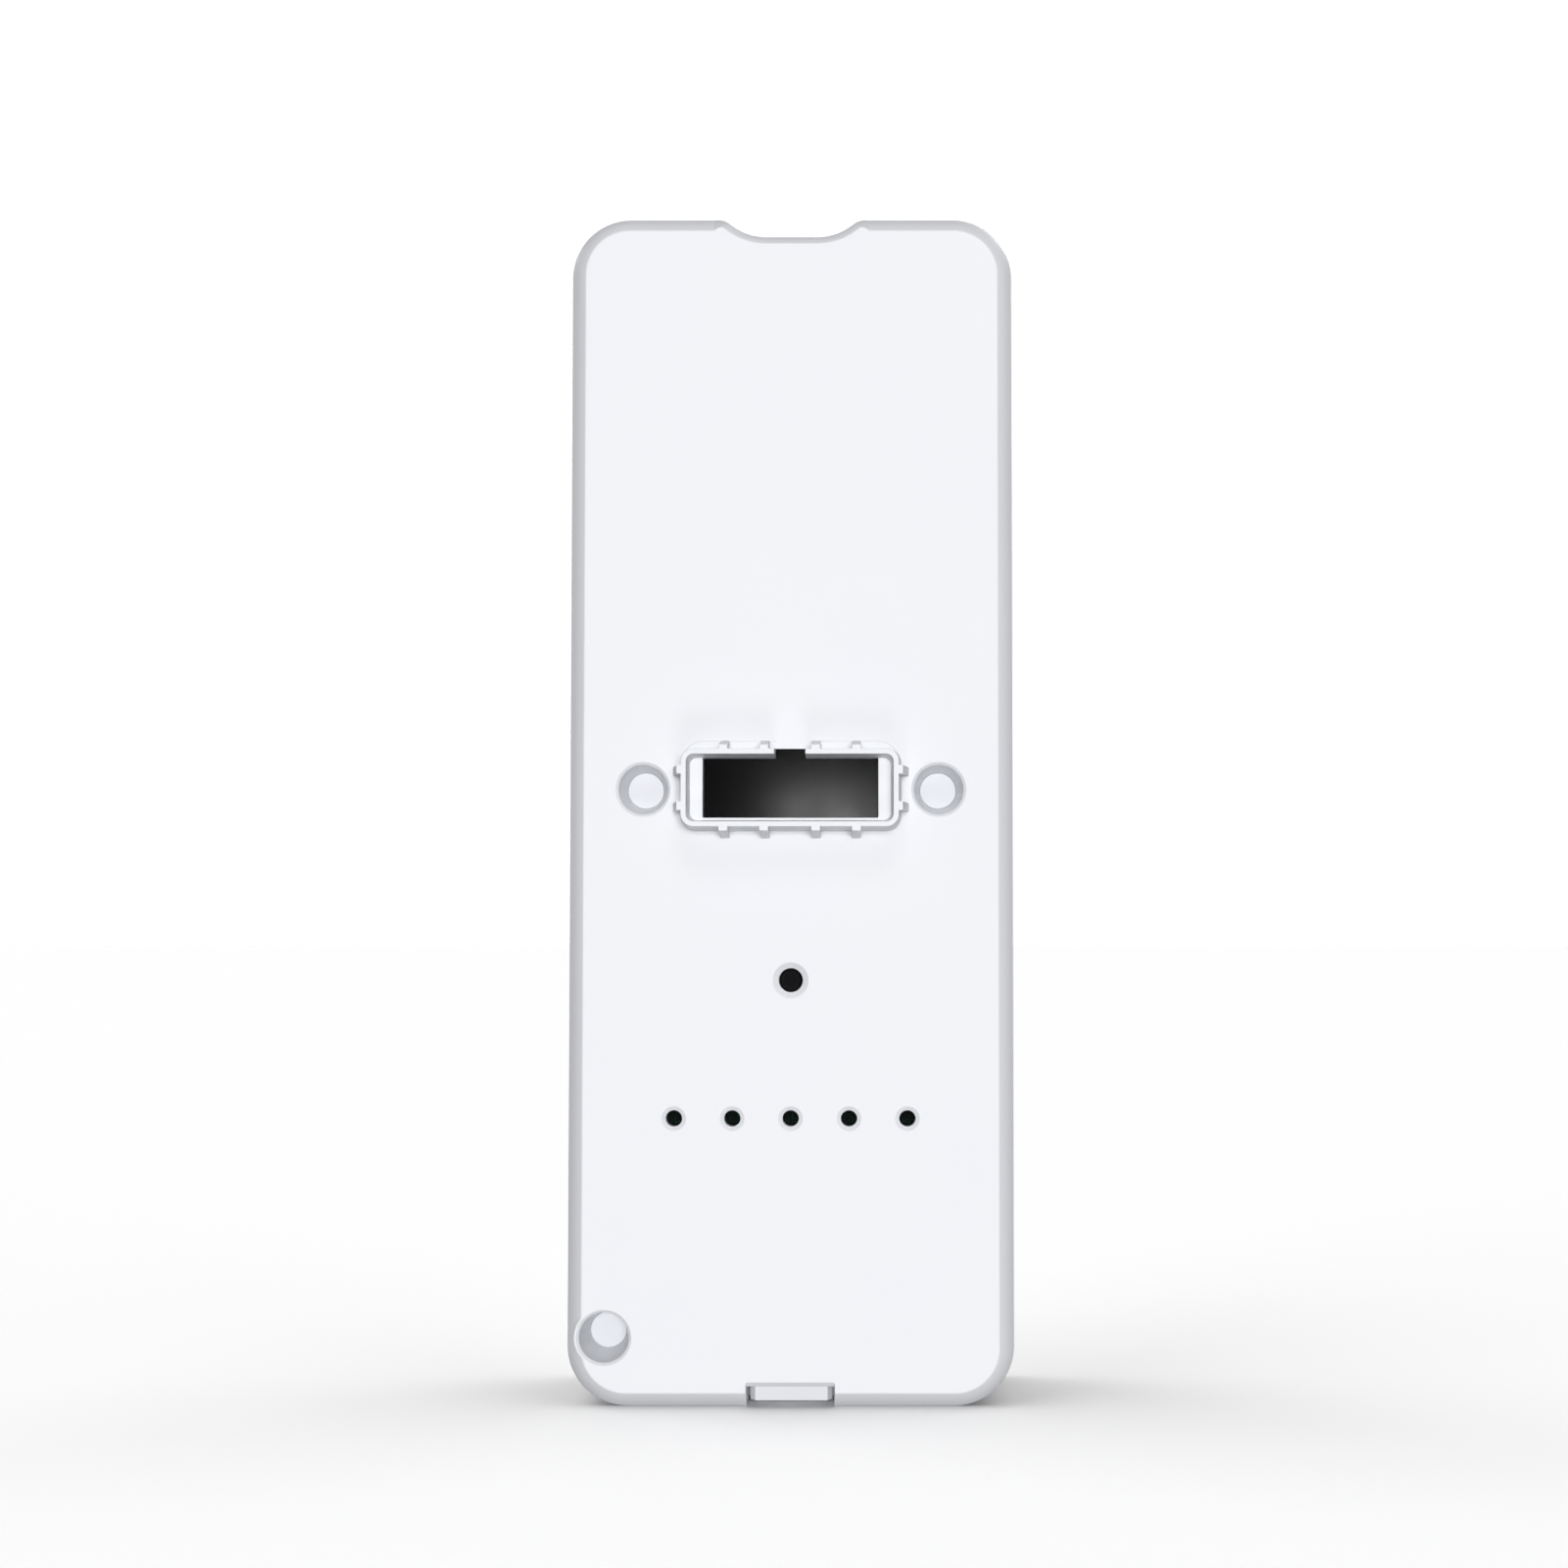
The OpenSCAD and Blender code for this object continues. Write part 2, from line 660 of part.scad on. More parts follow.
module power_parts() {
    color([0.2, 0.2, 0.22]) {
        difference() {
            block(-12, 50, 10, 10, 4.8, board_d);
            bar(-12, 50, 4.4, 5.6, 3.6);
        }
        bar(-12, 50, 5.2, 6.2, 3.2);
    }
    color([0.15, 0.2, 0.35]) for (z = [46, 55]) bar(11.5, z, 3.4, board_d, 3.3);
    color(black) block(0, 55.4, 7, 5, 7, board_d);
}

module backup_cell() {
    color([0.75, 0.76, 0.78]) layer(cell_d, cell_front_d) rounded(cell_w, cell_h, cell_z, 2);
}

module cell_pad() {
    color([0.35, 0.35, 0.37]) block(0, cell_z, cell_w - 6, cell_h - 5, cell_front_d, board_d);
}

// ---- tamper button ----

module tamper_plunger() {
    color(black) {
        bar(0, tamper_z, 0.9, tamper_end_d, tamper_tip_r);
        bar(0, tamper_z, 2.1, tamper_spring_d, tamper_flange_r);
    }
}

module tamper_spring() {
    color(steel) depth_coil(0, tamper_z, tamper_spring_d, tamper_switch_d, 1.9, 0.15, 5);
}

module tamper_switch() {
    color([0.15, 0.15, 0.16]) {
        block(0, tamper_z, 6, 6, tamper_switch_d, board_d);
        bar(0, tamper_z, tamper_end_d + tamper_travel + gap, tamper_switch_d + gap, 1.1);
    }
}

// ---- release catch in the lower edge ----

module release_catch() {
    mid = (catch_d + catch_rear_d) / 2;
    color(white) {
        // tongue with sloped side edges, open to the notch
        translate([0, 0, catch_low]) linear_extrude(catch_top - catch_low) polygon([
            [-catch_half, rear_y - catch_rear_d], [catch_half, rear_y - catch_rear_d],
            [catch_half, rear_y - catch_d - catch_side[1]], [catch_half - catch_side[0], rear_y - catch_d],
            [catch_side[0] - catch_half, rear_y - catch_d], [-catch_half, rear_y - catch_d - catch_side[1]]
        ]);
        // wings that rest on the lower wall
        block(0, 3, 2 * catch_half + 3, 1.8, catch_d + 1.2, catch_rear_d);
        translate([0, rear_y - mid, catch_top]) cylinder(h = catch_post, r = 0.8);
    }
}

module catch_spring() {
    mid = (catch_d + catch_rear_d) / 2;
    color(steel) translate([0, rear_y - mid, catch_top])
        coil(1.3, 0.15, 4, catch_ceiling - catch_top);
}

// ---- camera ----

module lens_bezel() {
    color([0.12, 0.12, 0.13]) translate([0, rear_y - shelf_d - 0.2, lens_z]) rotate([90, 0, 0])
        rotate_extrude() polygon([
            [6.3, 0], [10.1, 0], [10.1, 1.2], [9.5, 1.2], [9.5, 3], [9.1, 3.4], [8.1, 3.4],
            [7.3, 2.6], [7.3, 1.4], [6.3, 1.4]
        ]);
}

module lens_window() {
    color([0.6, 0.65, 0.7, 0.5]) bar(0, lens_z, shelf_d + 1.6, shelf_d + 2.6, 7.25);
}

module lens_barrel() {
    color([0.1, 0.1, 0.1]) translate([0, rear_y - barrel_d, lens_z]) rotate([90, 0, 0])
        rotate_extrude() polygon([
            [2.2, 0], [barrel_r, 0], [barrel_r, 2.7], [5.9, 2.7], [5.9, 5.1], [4.9, 5.1], [4.1, 4.4],
            [4.1, 3], [2.9, 3], [2.9, 0.7], [2.2, 0.7]
        ]);
}

module lens_glass() {
    dome_r = 6.2;
    rim_r = 4.05;
    rim_t = 0.6;
    rim_d = 18.2;
    half_angle = asin(rim_r / dome_r);
    color([0.25, 0.3, 0.4, 0.6]) {
        // front meniscus
        translate([0, rear_y - rim_d, lens_z]) rotate([90, 0, 0]) rotate_extrude() polygon(concat(
            [[0, 0], [rim_r, 0]],
            [for (i = [0:6]) let (a = half_angle * (1 - i / 6))
                [dome_r * sin(a), rim_t + dome_r * (cos(a) - cos(half_angle))]]
        ));
        // rear element
        bar(0, lens_z, 16, 17.4, 2.85);
    }
}

module camera_holder() {
    color([0.14, 0.14, 0.15]) difference() {
        block(0, lens_z, 22, 14, camera_front_d, holder_d);
        block(0, lens_z, 10, 10, camera_front_d - cut, 13.4);
        bar(0, lens_z, 13, slide_d + 0.1, filter_window_r);
        block(0, lens_z, 21.4, 7.6, slide_d, slide_d + slide_t);
        bar(0, lens_z, slide_d, barrel_d, filter_window_r);
        bar(0, lens_z, barrel_d, holder_d + cut, barrel_r);
        // slot for the filter's drive lug
        translate([-1.3, rear_y - slide_d - slide_t, lens_z + 3.5])
            cube([filter_travel + 2.6, slide_t, 4]);
    }
}

module ir_cut_filter() {
    color([0.55, 0.2, 0.25]) {
        difference() {
            block(-2.6, lens_z, 15.2, 7, slide_d + 0.1, slide_d + 0.8);
            for (x = [0, -filter_travel]) bar(x, lens_z, slide_d, slide_d + slide_t, 2.4);
        }
        block(0, lens_z + 5.4, 2, 4, slide_d + 0.1, slide_d + 0.8);
        for (x = [0, -filter_travel]) bar(x, lens_z, slide_d + 0.3, slide_d + 0.6, 2.4);
    }
}

module ir_cut_actuator() {
    color([0.6, 0.35, 0.15]) difference() {
        block(2.6, lens_z + 9.4, 11, 4.6, camera_front_d, 17.2);
        block(2.6, lens_z + 7.5, 8.4, 2, slide_d - 0.2, slide_d + slide_t + 0.2);
    }
}

module image_sensor() {
    color([0.15, 0.2, 0.25]) {
        block(0, lens_z, 8, 7, camera_front_d, camera_front_d + 0.6);
        block(0, lens_z, 6, 4.4, camera_front_d + 0.5, camera_front_d + 0.9);
    }
}

module camera_board() {
    color(board_green) layer(camera_board_d, camera_front_d) difference() {
        rounded(34, 25, 105.5, 1.5);
        for (p = camera_posts) translate(p) circle(small_screw_r + gap);
    }
}

module camera_screws() {
    color(steel) for (p = camera_posts) {
        difference() {
            bar(p[0], p[1], camera_board_d - 0.7, camera_board_d, 1.4);
            cross_slot(p[0], p[1], camera_board_d - 0.7, 0.35, 1.6);
        }
        bar(p[0], p[1], camera_board_d, 17, small_screw_r);
    }
}

module camera_connector() {
    color([0.8, 0.78, 0.7]) block(0, 98, 14, 3.4, board_front_d, camera_board_d);
}

module ir_leds() {
    color([0.3, 0.2, 0.35]) for (s = [-1, 1]) {
        bar(s * led_x, lens_z, camera_front_d, camera_front_d + 1, led_r + 0.3);
        bar(s * led_x, lens_z, camera_front_d + 1, led_front_d - led_r, led_r);
        intersection() {
            translate([s * led_x, rear_y - led_front_d + led_r, lens_z]) sphere(led_r);
            block(s * led_x, lens_z, 6, 6, led_front_d - led_r, led_front_d);
        }
    }
}

module light_sensor() {
    color(black) block(light_x, light_z, 2.2, 2.2, camera_front_d, camera_front_d + 0.8);
}

module light_pipe() {
    color([0.8, 0.82, 0.85, 0.6]) {
        bar(light_x, light_z, camera_front_d + 0.8, camera_front_d + 2, 1.6);
        bar(light_x, light_z, camera_front_d + 1.9, body_d - 0.1, light_r);
    }
}

// ---- call button ----

module button_cap() {
    color([0.85, 0.86, 0.88]) translate([0, rear_y - body_d - button_proud, button_z])
        rotate([-90, 0, 0]) rotate_extrude() polygon([
            [0, 0.5], [button_r - 1.6, 0.2], [button_r - 0.9, 0], [button_r - 0.3, 0.1],
            [button_r, 0.5], [button_r, 5], [button_r - 0.9, 5], [button_r - 0.9, 2.2],
            [1.8, 2.2], [1.8, body_d + button_proud - stem_d], [0, body_d + button_proud - stem_d]
        ]);
}

module button_light_ring() {
    color([0.7, 0.85, 0.95]) translate([0, rear_y - 17, button_z]) rotate([90, 0, 0])
        rotate_extrude() polygon([
            [button_r + 0.35, 0], [ring_outer_r, 0], [ring_outer_r, 4.9], [ring_outer_r - 0.3, 5.2],
            [button_r + 0.65, 5.2], [button_r + 0.35, 4.9]
        ]);
}

module button_spring() {
    color(steel)
        depth_coil(0, button_z, button_board_front_d, body_d + button_proud - 2.2, 7.2, 0.25, 3, 24);
}

module button_switch() {
    color([0.2, 0.2, 0.22]) difference() {
        block(0, button_z, 6.4, 6.4, button_board_front_d, 17.3);
        bar(0, button_z, switch_plunger_d - button_travel - 0.2, 17.3 + cut, 1.9);
    }
}

module switch_plunger() {
    color([0.75, 0.7, 0.5]) bar(0, button_z, switch_plunger_d, stem_d, 1.6);
}

module button_board() {
    color(board_green) layer(button_board_d, button_board_front_d) difference() {
        rounded(38, 29, button_z, 2.2);
        for (p = button_posts) translate(p) circle(small_screw_r + gap);
    }
}

module button_board_screws() {
    color(steel) small_screws(button_posts, button_board_d - small_head_h, button_board_d, 18.4);
}

module ring_leds() {
    color([0.95, 0.93, 0.8]) for (i = [0:ring_led_count - 1]) rotate_about_button(i)
        block(ring_led_r, button_z, 1.1, 1.8, button_board_front_d, button_board_front_d + 0.7);
}

module rotate_about_button(i) {
    translate([0, 0, button_z]) rotate([0, 360 * (i + 0.5) / ring_led_count, 0])
        translate([0, 0, -button_z]) children();
}

// Ribbon from the main board to the button board, with a stiffened tab at each end
module button_flex() {
    t = 0.25;
    path = [[board_front_d, 60], [board_front_d + 0.9, 59.4], [12.6, 56.6], [13.4, 54.5],
        [14, 53.4], [button_board_d - t, 52.2], [button_board_d - t, 47.6]];
    color([0.75, 0.5, 0.15]) translate([-4, 0, 0]) rotate([90, 0, 90]) linear_extrude(8)
        polygon(concat(
            [for (p = path) [rear_y - p[0], p[1]]],
            [for (i = [len(path) - 1:-1:0]) [rear_y - path[i][0] - t, path[i][1]]]
        ));
    color(black) block(0, 61.4, 10, 2.8, board_front_d, board_front_d + 1);
}

// ---- main board ----

module main_board() {
    color(board_green) layer(board_d, board_front_d) difference() {
        rounded(board_w, board_h, board_z, 2.5);
        for (s = [-1, 1]) translate([s * well_x, collar_z]) circle(shank_r + gap);
        for (p = board_posts) translate(p) circle(small_screw_r + gap);
    }
}

module main_board_screws() {
    top_d = board_front_d + small_head_h;
    color(steel) for (p = board_posts) {
        difference() {
            bar(p[0], p[1], board_front_d, top_d, small_head_r);
            cross_slot(p[0], p[1], top_d - 0.5 + cut, 0.7);
        }
        bar(p[0], p[1], 4.6, board_front_d, small_screw_r);
    }
}

module board_chips() {
    color([0.08, 0.08, 0.09]) {
        block(-4, 112, 11, 9, board_d - 1.2, board_d);
        block(7, 112, 5, 8, board_d - 1, board_d);
        block(0, 74, 10, 8, board_front_d, board_front_d + 1);
        block(-14, 36, 9, 9, board_d - 1.1, board_d);
        block(13, 34, 6, 5, board_d - 1.4, board_d);
        block(-2, 22, 12, 5, board_d - 1.2, board_d);
    }
}

module shield_can() {
    can_d = board_d - 2.2;
    color([0.78, 0.79, 0.8]) difference() {
        block(0, 112, 24, 13, can_d, board_d);
        block(0, 112, 23.4, 12.4, can_d + 0.3, board_d + cut);
    }
}

module wifi_antenna() {
    color([0.8, 0.55, 0.2]) block(wall - body_w / 2 + 0.15, 92, 0.3, 34, 3, 9);
}

// ---- sound ----

module speaker_frame() {
    color([0.1, 0.1, 0.11]) {
        layer(speaker_d, speaker_front_d) difference() {
            rounded(speaker_w, speaker_h, speaker_z, 2);
            rounded(cone_w, cone_h, speaker_z, 1.2);
        }
        layer(speaker_d, magnet_d) rounded(cone_w + 0.4, cone_h + 0.4, speaker_z, 1.2);
    }
}

module speaker_magnet() {
    color(steel) block(0, speaker_z, 14, 7, magnet_d, magnet_d + 3);
}

module speaker_cone() {
    color([0.25, 0.25, 0.27]) {
        layer(cone_d, cone_d + 0.3) rounded(cone_w, cone_h, speaker_z, 1.2);
        layer(cone_d + 0.2, cone_d + 0.7) rounded(19, 5, speaker_z, 2);
    }
}

module speaker_gasket() {
    color([0.25, 0.25, 0.25]) layer(speaker_front_d, shelf_d) difference() {
        rounded(speaker_w, speaker_h, speaker_z, 2);
        rounded(cone_w - 2.6, cone_h - 2.2, speaker_z, 1.2);
    }
}

module speaker_contacts() {
    color([0.85, 0.7, 0.3]) for (s = [-1, 1]) {
        bar(s * 4, speaker_z, board_front_d, speaker_d - 0.6, 0.9);
        bar(s * 4, speaker_z, speaker_d - 0.7, speaker_d, 0.5);
    }
}

module speaker_mesh() {
    color([0.15, 0.15, 0.15]) block(0, speaker_z, 21.6, 5.9, panel_seat_d - 0.4, panel_seat_d - 0.1);
}

module microphone() {
    color([0.8, 0.75, 0.5]) difference() {
        block(0, mic_z, 3.8, 3, board_front_d, board_front_d + 1.1);
        bar(0, mic_z, board_front_d + 0.8, board_front_d + 2, 0.25);
    }
}

module mic_boot() {
    color([0.15, 0.15, 0.16]) difference() {
        bar(0, mic_z, board_front_d + 1.1, shelf_d, 2.6);
        bar(0, mic_z, board_front_d + 1, shelf_d + cut, mic_hole_r);
    }
}

rear_housing();
front_housing();
front_panel();
panel_tape();
housing_gasket();
housing_screws();
screw_plugs();
terminal_cover();
terminal_block();
terminal_screws();
vent_mesh();
tamper_plunger();
tamper_spring();
tamper_switch();
release_catch();
catch_spring();
lens_bezel();
lens_window();
lens_barrel();
lens_glass();
camera_holder();
ir_cut_filter();
ir_cut_actuator();
image_sensor();
camera_board();
camera_screws();
camera_connector();
ir_leds();
light_pipe();
light_sensor();
button_cap();
button_light_ring();
button_spring();
button_switch();
switch_plunger();
button_board();
button_board_screws();
ring_leds();
button_flex();
main_board();
main_board_screws();
board_chips();
shield_can();
power_parts();
backup_cell();
cell_pad();
wifi_antenna();
speaker_frame();
speaker_cone();
speaker_magnet();
speaker_gasket();
speaker_contacts();
speaker_mesh();
microphone();
mic_boot();
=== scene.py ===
"""A wired video doorbell, standing upright and seen from its wall side.

Shapes are built in millimetres in the CAD frame, cut with exact booleans and then scaled to metres. A
depth d runs from the wall face (0) towards the front of the housing, and the wiring collar stands proud of
the wall face, at negative depths.
"""

import math

import bmesh
import bpy
from mathutils import Matrix, Vector

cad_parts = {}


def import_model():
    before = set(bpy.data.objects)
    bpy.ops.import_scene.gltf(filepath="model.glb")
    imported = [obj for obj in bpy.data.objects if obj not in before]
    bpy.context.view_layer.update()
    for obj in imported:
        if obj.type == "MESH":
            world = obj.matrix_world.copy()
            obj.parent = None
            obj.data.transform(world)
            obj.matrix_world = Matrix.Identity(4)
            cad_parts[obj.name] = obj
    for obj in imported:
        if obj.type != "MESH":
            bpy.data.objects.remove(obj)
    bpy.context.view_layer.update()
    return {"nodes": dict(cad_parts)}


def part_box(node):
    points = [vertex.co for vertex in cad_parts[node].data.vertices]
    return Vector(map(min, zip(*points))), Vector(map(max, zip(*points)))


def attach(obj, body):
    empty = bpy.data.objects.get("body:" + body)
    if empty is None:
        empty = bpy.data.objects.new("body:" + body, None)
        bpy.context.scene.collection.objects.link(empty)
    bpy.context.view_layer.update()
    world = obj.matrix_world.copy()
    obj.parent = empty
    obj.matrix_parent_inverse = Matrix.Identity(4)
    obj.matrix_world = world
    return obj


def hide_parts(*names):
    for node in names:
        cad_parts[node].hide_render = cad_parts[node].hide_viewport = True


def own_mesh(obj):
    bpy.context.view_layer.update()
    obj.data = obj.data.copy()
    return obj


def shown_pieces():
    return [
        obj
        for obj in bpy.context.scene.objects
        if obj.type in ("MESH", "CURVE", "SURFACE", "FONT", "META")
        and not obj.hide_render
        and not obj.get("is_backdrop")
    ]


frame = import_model()

MM = 0.001


# ---- sizes, in millimetres, worked out from the frame ----


def low(node):
    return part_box(node)[0] / MM


def high(node):
    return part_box(node)[1] / MM


def middle(node):
    return (low(node) + high(node)) / 2


REAR_Y = high("terminal_cover").y  # the wall face
BODY_W = 2 * high("rear_housing").x
BODY_H = high("rear_housing").z
BODY_D = REAR_Y - low("front_panel").y
SPLIT_D = REAR_Y - low("rear_housing").y
COLLAR_H = high("rear_housing").y - REAR_Y
WALL = 2.0
CORNER_R = 6.5
BEVEL_W, BEVEL_D, BEVEL_CROWN = 1.7, 2.1, 0.1
DIP_BEVEL_SHARE = 1 / BEVEL_W  # the bevel is 1 mm wide in the dip
DIP_H, DIP_FLAT, DIP_VALLEY_R, DIP_SHOULDER_R = 2.1, 2.8, 6.2, 2.6
DIP_SLOPE = math.radians(36)
FRONT_EDGE = 2.2
SEAM = 0.14  # chamfer on each half along the parting line
GAP = 0.1

PLUG_R = 2.0
PLUG_T = 0.8
WELL_X = -low("screw_plugs").x - PLUG_R
COLLAR_Z = high("screw_plugs").z - PLUG_R
CORNER_X = high("screw_plugs").x - PLUG_R
CORNER_Z = low("screw_plugs").z + PLUG_R
WELL_D, CORNER_WELL_D = 4.2, 6.1
WELL_RIM_R, WELL_EDGE_R, WELL_CHAMFER, WELL_LIP = 3.0, 2.7, 0.3, 0.3
HEAD_H, SHANK_R, BOSS_R, COLUMN_R = 1.6, 0.9, 3.6, 3.2
PILOT_R = 0.7  # bore for a small screw
BOARD_D = REAR_Y - high("main_board").y
CORNER_JOINT_D = 11.0
WELLS = [
    (WELL_X, COLLAR_Z, WELL_D, BOARD_D),
    (-WELL_X, COLLAR_Z, WELL_D, BOARD_D),
    (CORNER_X, CORNER_Z, CORNER_WELL_D, CORNER_JOINT_D),
]

COLLAR_W, COLLAR_T, COLLAR_WALL, COLLAR_CORNER = 23.4, 8.37, 0.58, 1.35
COLLAR_DRAFT, PAD_REACH, PAD_H, PAD_SIDE = 0.3, 1.08, 0.2, 0.2
LEDGE_D = 3.0 - COLLAR_H
WINDOW_W, WINDOW_T = 19.0, 6.5
WINDOW_TOP = COLLAR_Z + WINDOW_T / 2 + 0.1
WINDOW_LOW = WINDOW_TOP - WINDOW_T
SLOT_W = 3.33
SLOT_TOP = COLLAR_Z + COLLAR_T / 2 + 0.24
RIB_W, RIB_FACE, RIB_FOOT = 0.97, 0.45, 1.15
RIB_X = (-7.15, -2.78, 2.78, 7.15)
RIB_Z = (-1.95, 1.95)

TAMPER_Z = middle("tamper_plunger").z
TAMPER_HOLE_R, TAMPER_MOUTH_R, TAMPER_MOUTH_D = 1.3, 1.95, 0.6
VENT_Z = middle("vent_mesh").z
VENT_COUNT, VENT_PITCH = 5, 6.33
VENT_R, VENT_MOUTH_R, VENT_MOUTH_D = 0.88, 1.34, 0.4
NOTCH_W, NOTCH_H = 9.53, 2.85
CATCH_D = REAR_Y - high("release_catch").y
CATCH_REAR_D = REAR_Y - low("release_catch").y
CATCH_CEILING = 9.5  # the catch's spring pushes against it

PANEL_W = 2 * high("front_panel").x
PANEL_H = high("front_panel").z - low("front_panel").z
PANEL_Z = middle("front_panel").z
PANEL_CORNER = 4.8
PANEL_SEAT_D = BODY_D - 1.5
SEAT_ROOT = 0.5  # how far columns reach into the shelf
PANEL_REAR_D = REAR_Y - high("front_panel").y
SHELF_D = 19.0
LENS_Z = middle("lens_window").z
LENS_HOLE_R = 10.2
BUTTON_Z = middle("button_cap").z
BUTTON_R = high("button_cap").x
BUTTON_D = REAR_Y - low("button_cap").y  # front of the push button
RING_R = high("button_light_ring").x
RING_FIT = 0.35  # clearance of the button in its ring
SPEAKER_Z = middle("speaker_mesh").z
MIC_Z = middle("mic_boot").z
LIGHT_X, LIGHT_Z = middle("light_pipe").x, middle("light_pipe").z
LED_X = high("ir_leds").x - 2.8
GRILLE_COUNT, GRILLE_PITCH, GRILLE_R, GRILLE_HALF = 7, 3.0, 0.65, 1.8
SPEAKER_SEAT = 11.0, 3.1  # half width and half height of the recess behind the grille
MIC_R, LIGHT_R = 0.7, 1.2
BOARD_FRONT_D = REAR_Y - low("main_board").y


# ---- outlines and solids ----


def arc(cx, cz, r0, r1, a0, a1, steps, w0=0.0, w1=0.0):
    """Points of an arc in x and z, with the radius and the dip weight running from start to end."""
    points = []
    for i in range(steps + 1):
        t = i / steps
        a, r = math.radians(a0 + (a1 - a0) * t), r0 + (r1 - r0) * t
        points.append((cx + r * math.cos(a), cz + r * math.sin(a), w0 + (w1 - w0) * t))
    return points


def housing_outline(inset, dip_inset):
    """The housing's outline set in by inset, and by dip_inset inside the dip in the top edge."""
    corner_steps, dip_steps = 20, 14
    cx, top, r = BODY_W / 2 - CORNER_R, BODY_H - CORNER_R, CORNER_R - inset
    shoulder_z, valley_z = BODY_H - DIP_SHOULDER_R, BODY_H - DIP_H + DIP_VALLEY_R
    drop = DIP_H - (DIP_VALLEY_R + DIP_SHOULDER_R) * (1 - math.cos(DIP_SLOPE))
    sx = DIP_FLAT + (DIP_VALLEY_R + DIP_SHOULDER_R) * math.sin(DIP_SLOPE) + drop / math.tan(DIP_SLOPE)
    s0, s1, v = DIP_SHOULDER_R - inset, DIP_SHOULDER_R - dip_inset, DIP_VALLEY_R + dip_inset
    slope = math.degrees(DIP_SLOPE)
    return (
        [(0.0, inset, 0.0)]
        + arc(cx, CORNER_R, r, r, -90, 0, corner_steps)
        + arc(cx, top, r, r, 0, 90, corner_steps)
        + arc(sx, shoulder_z, s0, s1, 90, 90 + slope, dip_steps, 0, 1)
        + arc(DIP_FLAT, valley_z, v, v, slope - 90, -90, dip_steps, 1, 1)
        + arc(-DIP_FLAT, valley_z, v, v, -90, -90 - slope, dip_steps, 1, 1)
        + arc(-sx, shoulder_z, s1, s0, 90 - slope, 90, dip_steps, 1, 0)
        + arc(-cx, top, r, r, 90, 180, corner_steps)
        + arc(-cx, CORNER_R, r, r, 180, 270, corner_steps)
    )


def slab(x0, x1, z0, z1, low_r, high_r, steps=8):
    """A rounded rectangle, with its own radius for the lower and the upper corners."""
    return (
        arc(x1 - low_r, z0 + low_r, low_r, low_r, -90, 0, steps)
        + arc(x1 - high_r, z1 - high_r, high_r, high_r, 0, 90, steps)
        + arc(x0 + high_r, z1 - high_r, high_r, high_r, 90, 180, steps)
        + arc(x0 + low_r, z0 + low_r, low_r, low_r, 180, 270, steps)
    )


def circle(x, z, r, sides=64):
    """Corners of a regular polygon that stands for a circle."""
    return [
        (x + r * math.cos(math.tau * i / sides), z + r * math.sin(math.tau * i / sides))
        for i in range(sides)
    ]


def rounded_path(corners, steps=4, closed=False):
    """A path through (u, v, radius) corners, each rounded to its radius."""
    path, count = [], len(corners)
    for i, (u, v, radius) in enumerate(corners):
        here = Vector((u, v))
        if radius == 0 or (not closed and i in (0, count - 1)):
            path.append((u, v))
            continue
        before = Vector(corners[i - 1][:2]) - here
        after = Vector(corners[(i + 1) % count][:2]) - here
        half = before.angle(after) / 2
        reach = min(radius / math.tan(half), 0.49 * before.length, 0.49 * after.length)
        start, end = here + before.normalized() * reach, here + after.normalized() * reach
        bisector = (before.normalized() + after.normalized()).normalized()
        centre = here + bisector * (reach / math.cos(half))
        spoke, turn = start - centre, (start - centre).angle_signed(end - centre)
        for k in range(steps + 1):
            a = -turn * k / steps
            c, s = math.cos(a), math.sin(a)
            p = centre + Vector((c * spoke.x - s * spoke.y, s * spoke.x + c * spoke.y))
            path.append((p.x, p.y))
    return path


def at_depth(outline, d, dip_d=None):
    """An outline of (x, z) or (x, z, dip weight) points as a ring at depth d."""
    dip_d = d if dip_d is None else dip_d
    ring = []
    for p in outline:
        weight = p[2] if len(p) > 2 else 0.0
        ring.append((p[0], REAR_Y - d - (dip_d - d) * weight, p[1]))
    return ring


def solid(verts, faces):
    """A temporary object in millimetres, with its normals outwards."""
    mesh = bpy.data.meshes.new("solid")
    mesh.from_pydata(verts, [], faces)
    bm = bmesh.new()
    bm.from_mesh(mesh)
    bmesh.ops.remove_doubles(bm, verts=bm.verts, dist=1e-5)
    bmesh.ops.dissolve_degenerate(bm, edges=bm.edges, dist=1e-6)
    bmesh.ops.recalc_face_normals(bm, faces=bm.faces)
    bm.to_mesh(mesh)
    bm.free()
    obj = bpy.data.objects.new("solid", mesh)
    bpy.context.scene.collection.objects.link(obj)
    return obj


def loft(rings, closed=False):
    """A solid through rings of equally many points; closed joins the last ring to the first."""
    n, count = len(rings[0]), len(rings)
    verts = [p for ring in rings for p in ring]
    faces = []
    for k in range(count if closed else count - 1):
        a, b = k * n, (k + 1) % count * n
        faces += [(a + i, a + (i + 1) % n, b + (i + 1) % n, b + i) for i in range(n)]
    if not closed:
        faces += [tuple(range(n)), tuple(range((count - 1) * n, count * n))]
    return solid(verts, faces)


def lathe(x, z, corners, steps=4, sides=64, closed=False):
    """A turned solid about an axis along the depth, from (radius, depth, rounding) corners."""
    path = rounded_path(corners, steps, closed)
    return loft([at_depth(circle(x, z, max(r, 1e-4), sides), d) for r, d in path], closed)


def prism(outline, d0, d1):
    """An outline drawn out between two depths."""
    return loft([at_depth(outline, d0), at_depth(outline, d1)])


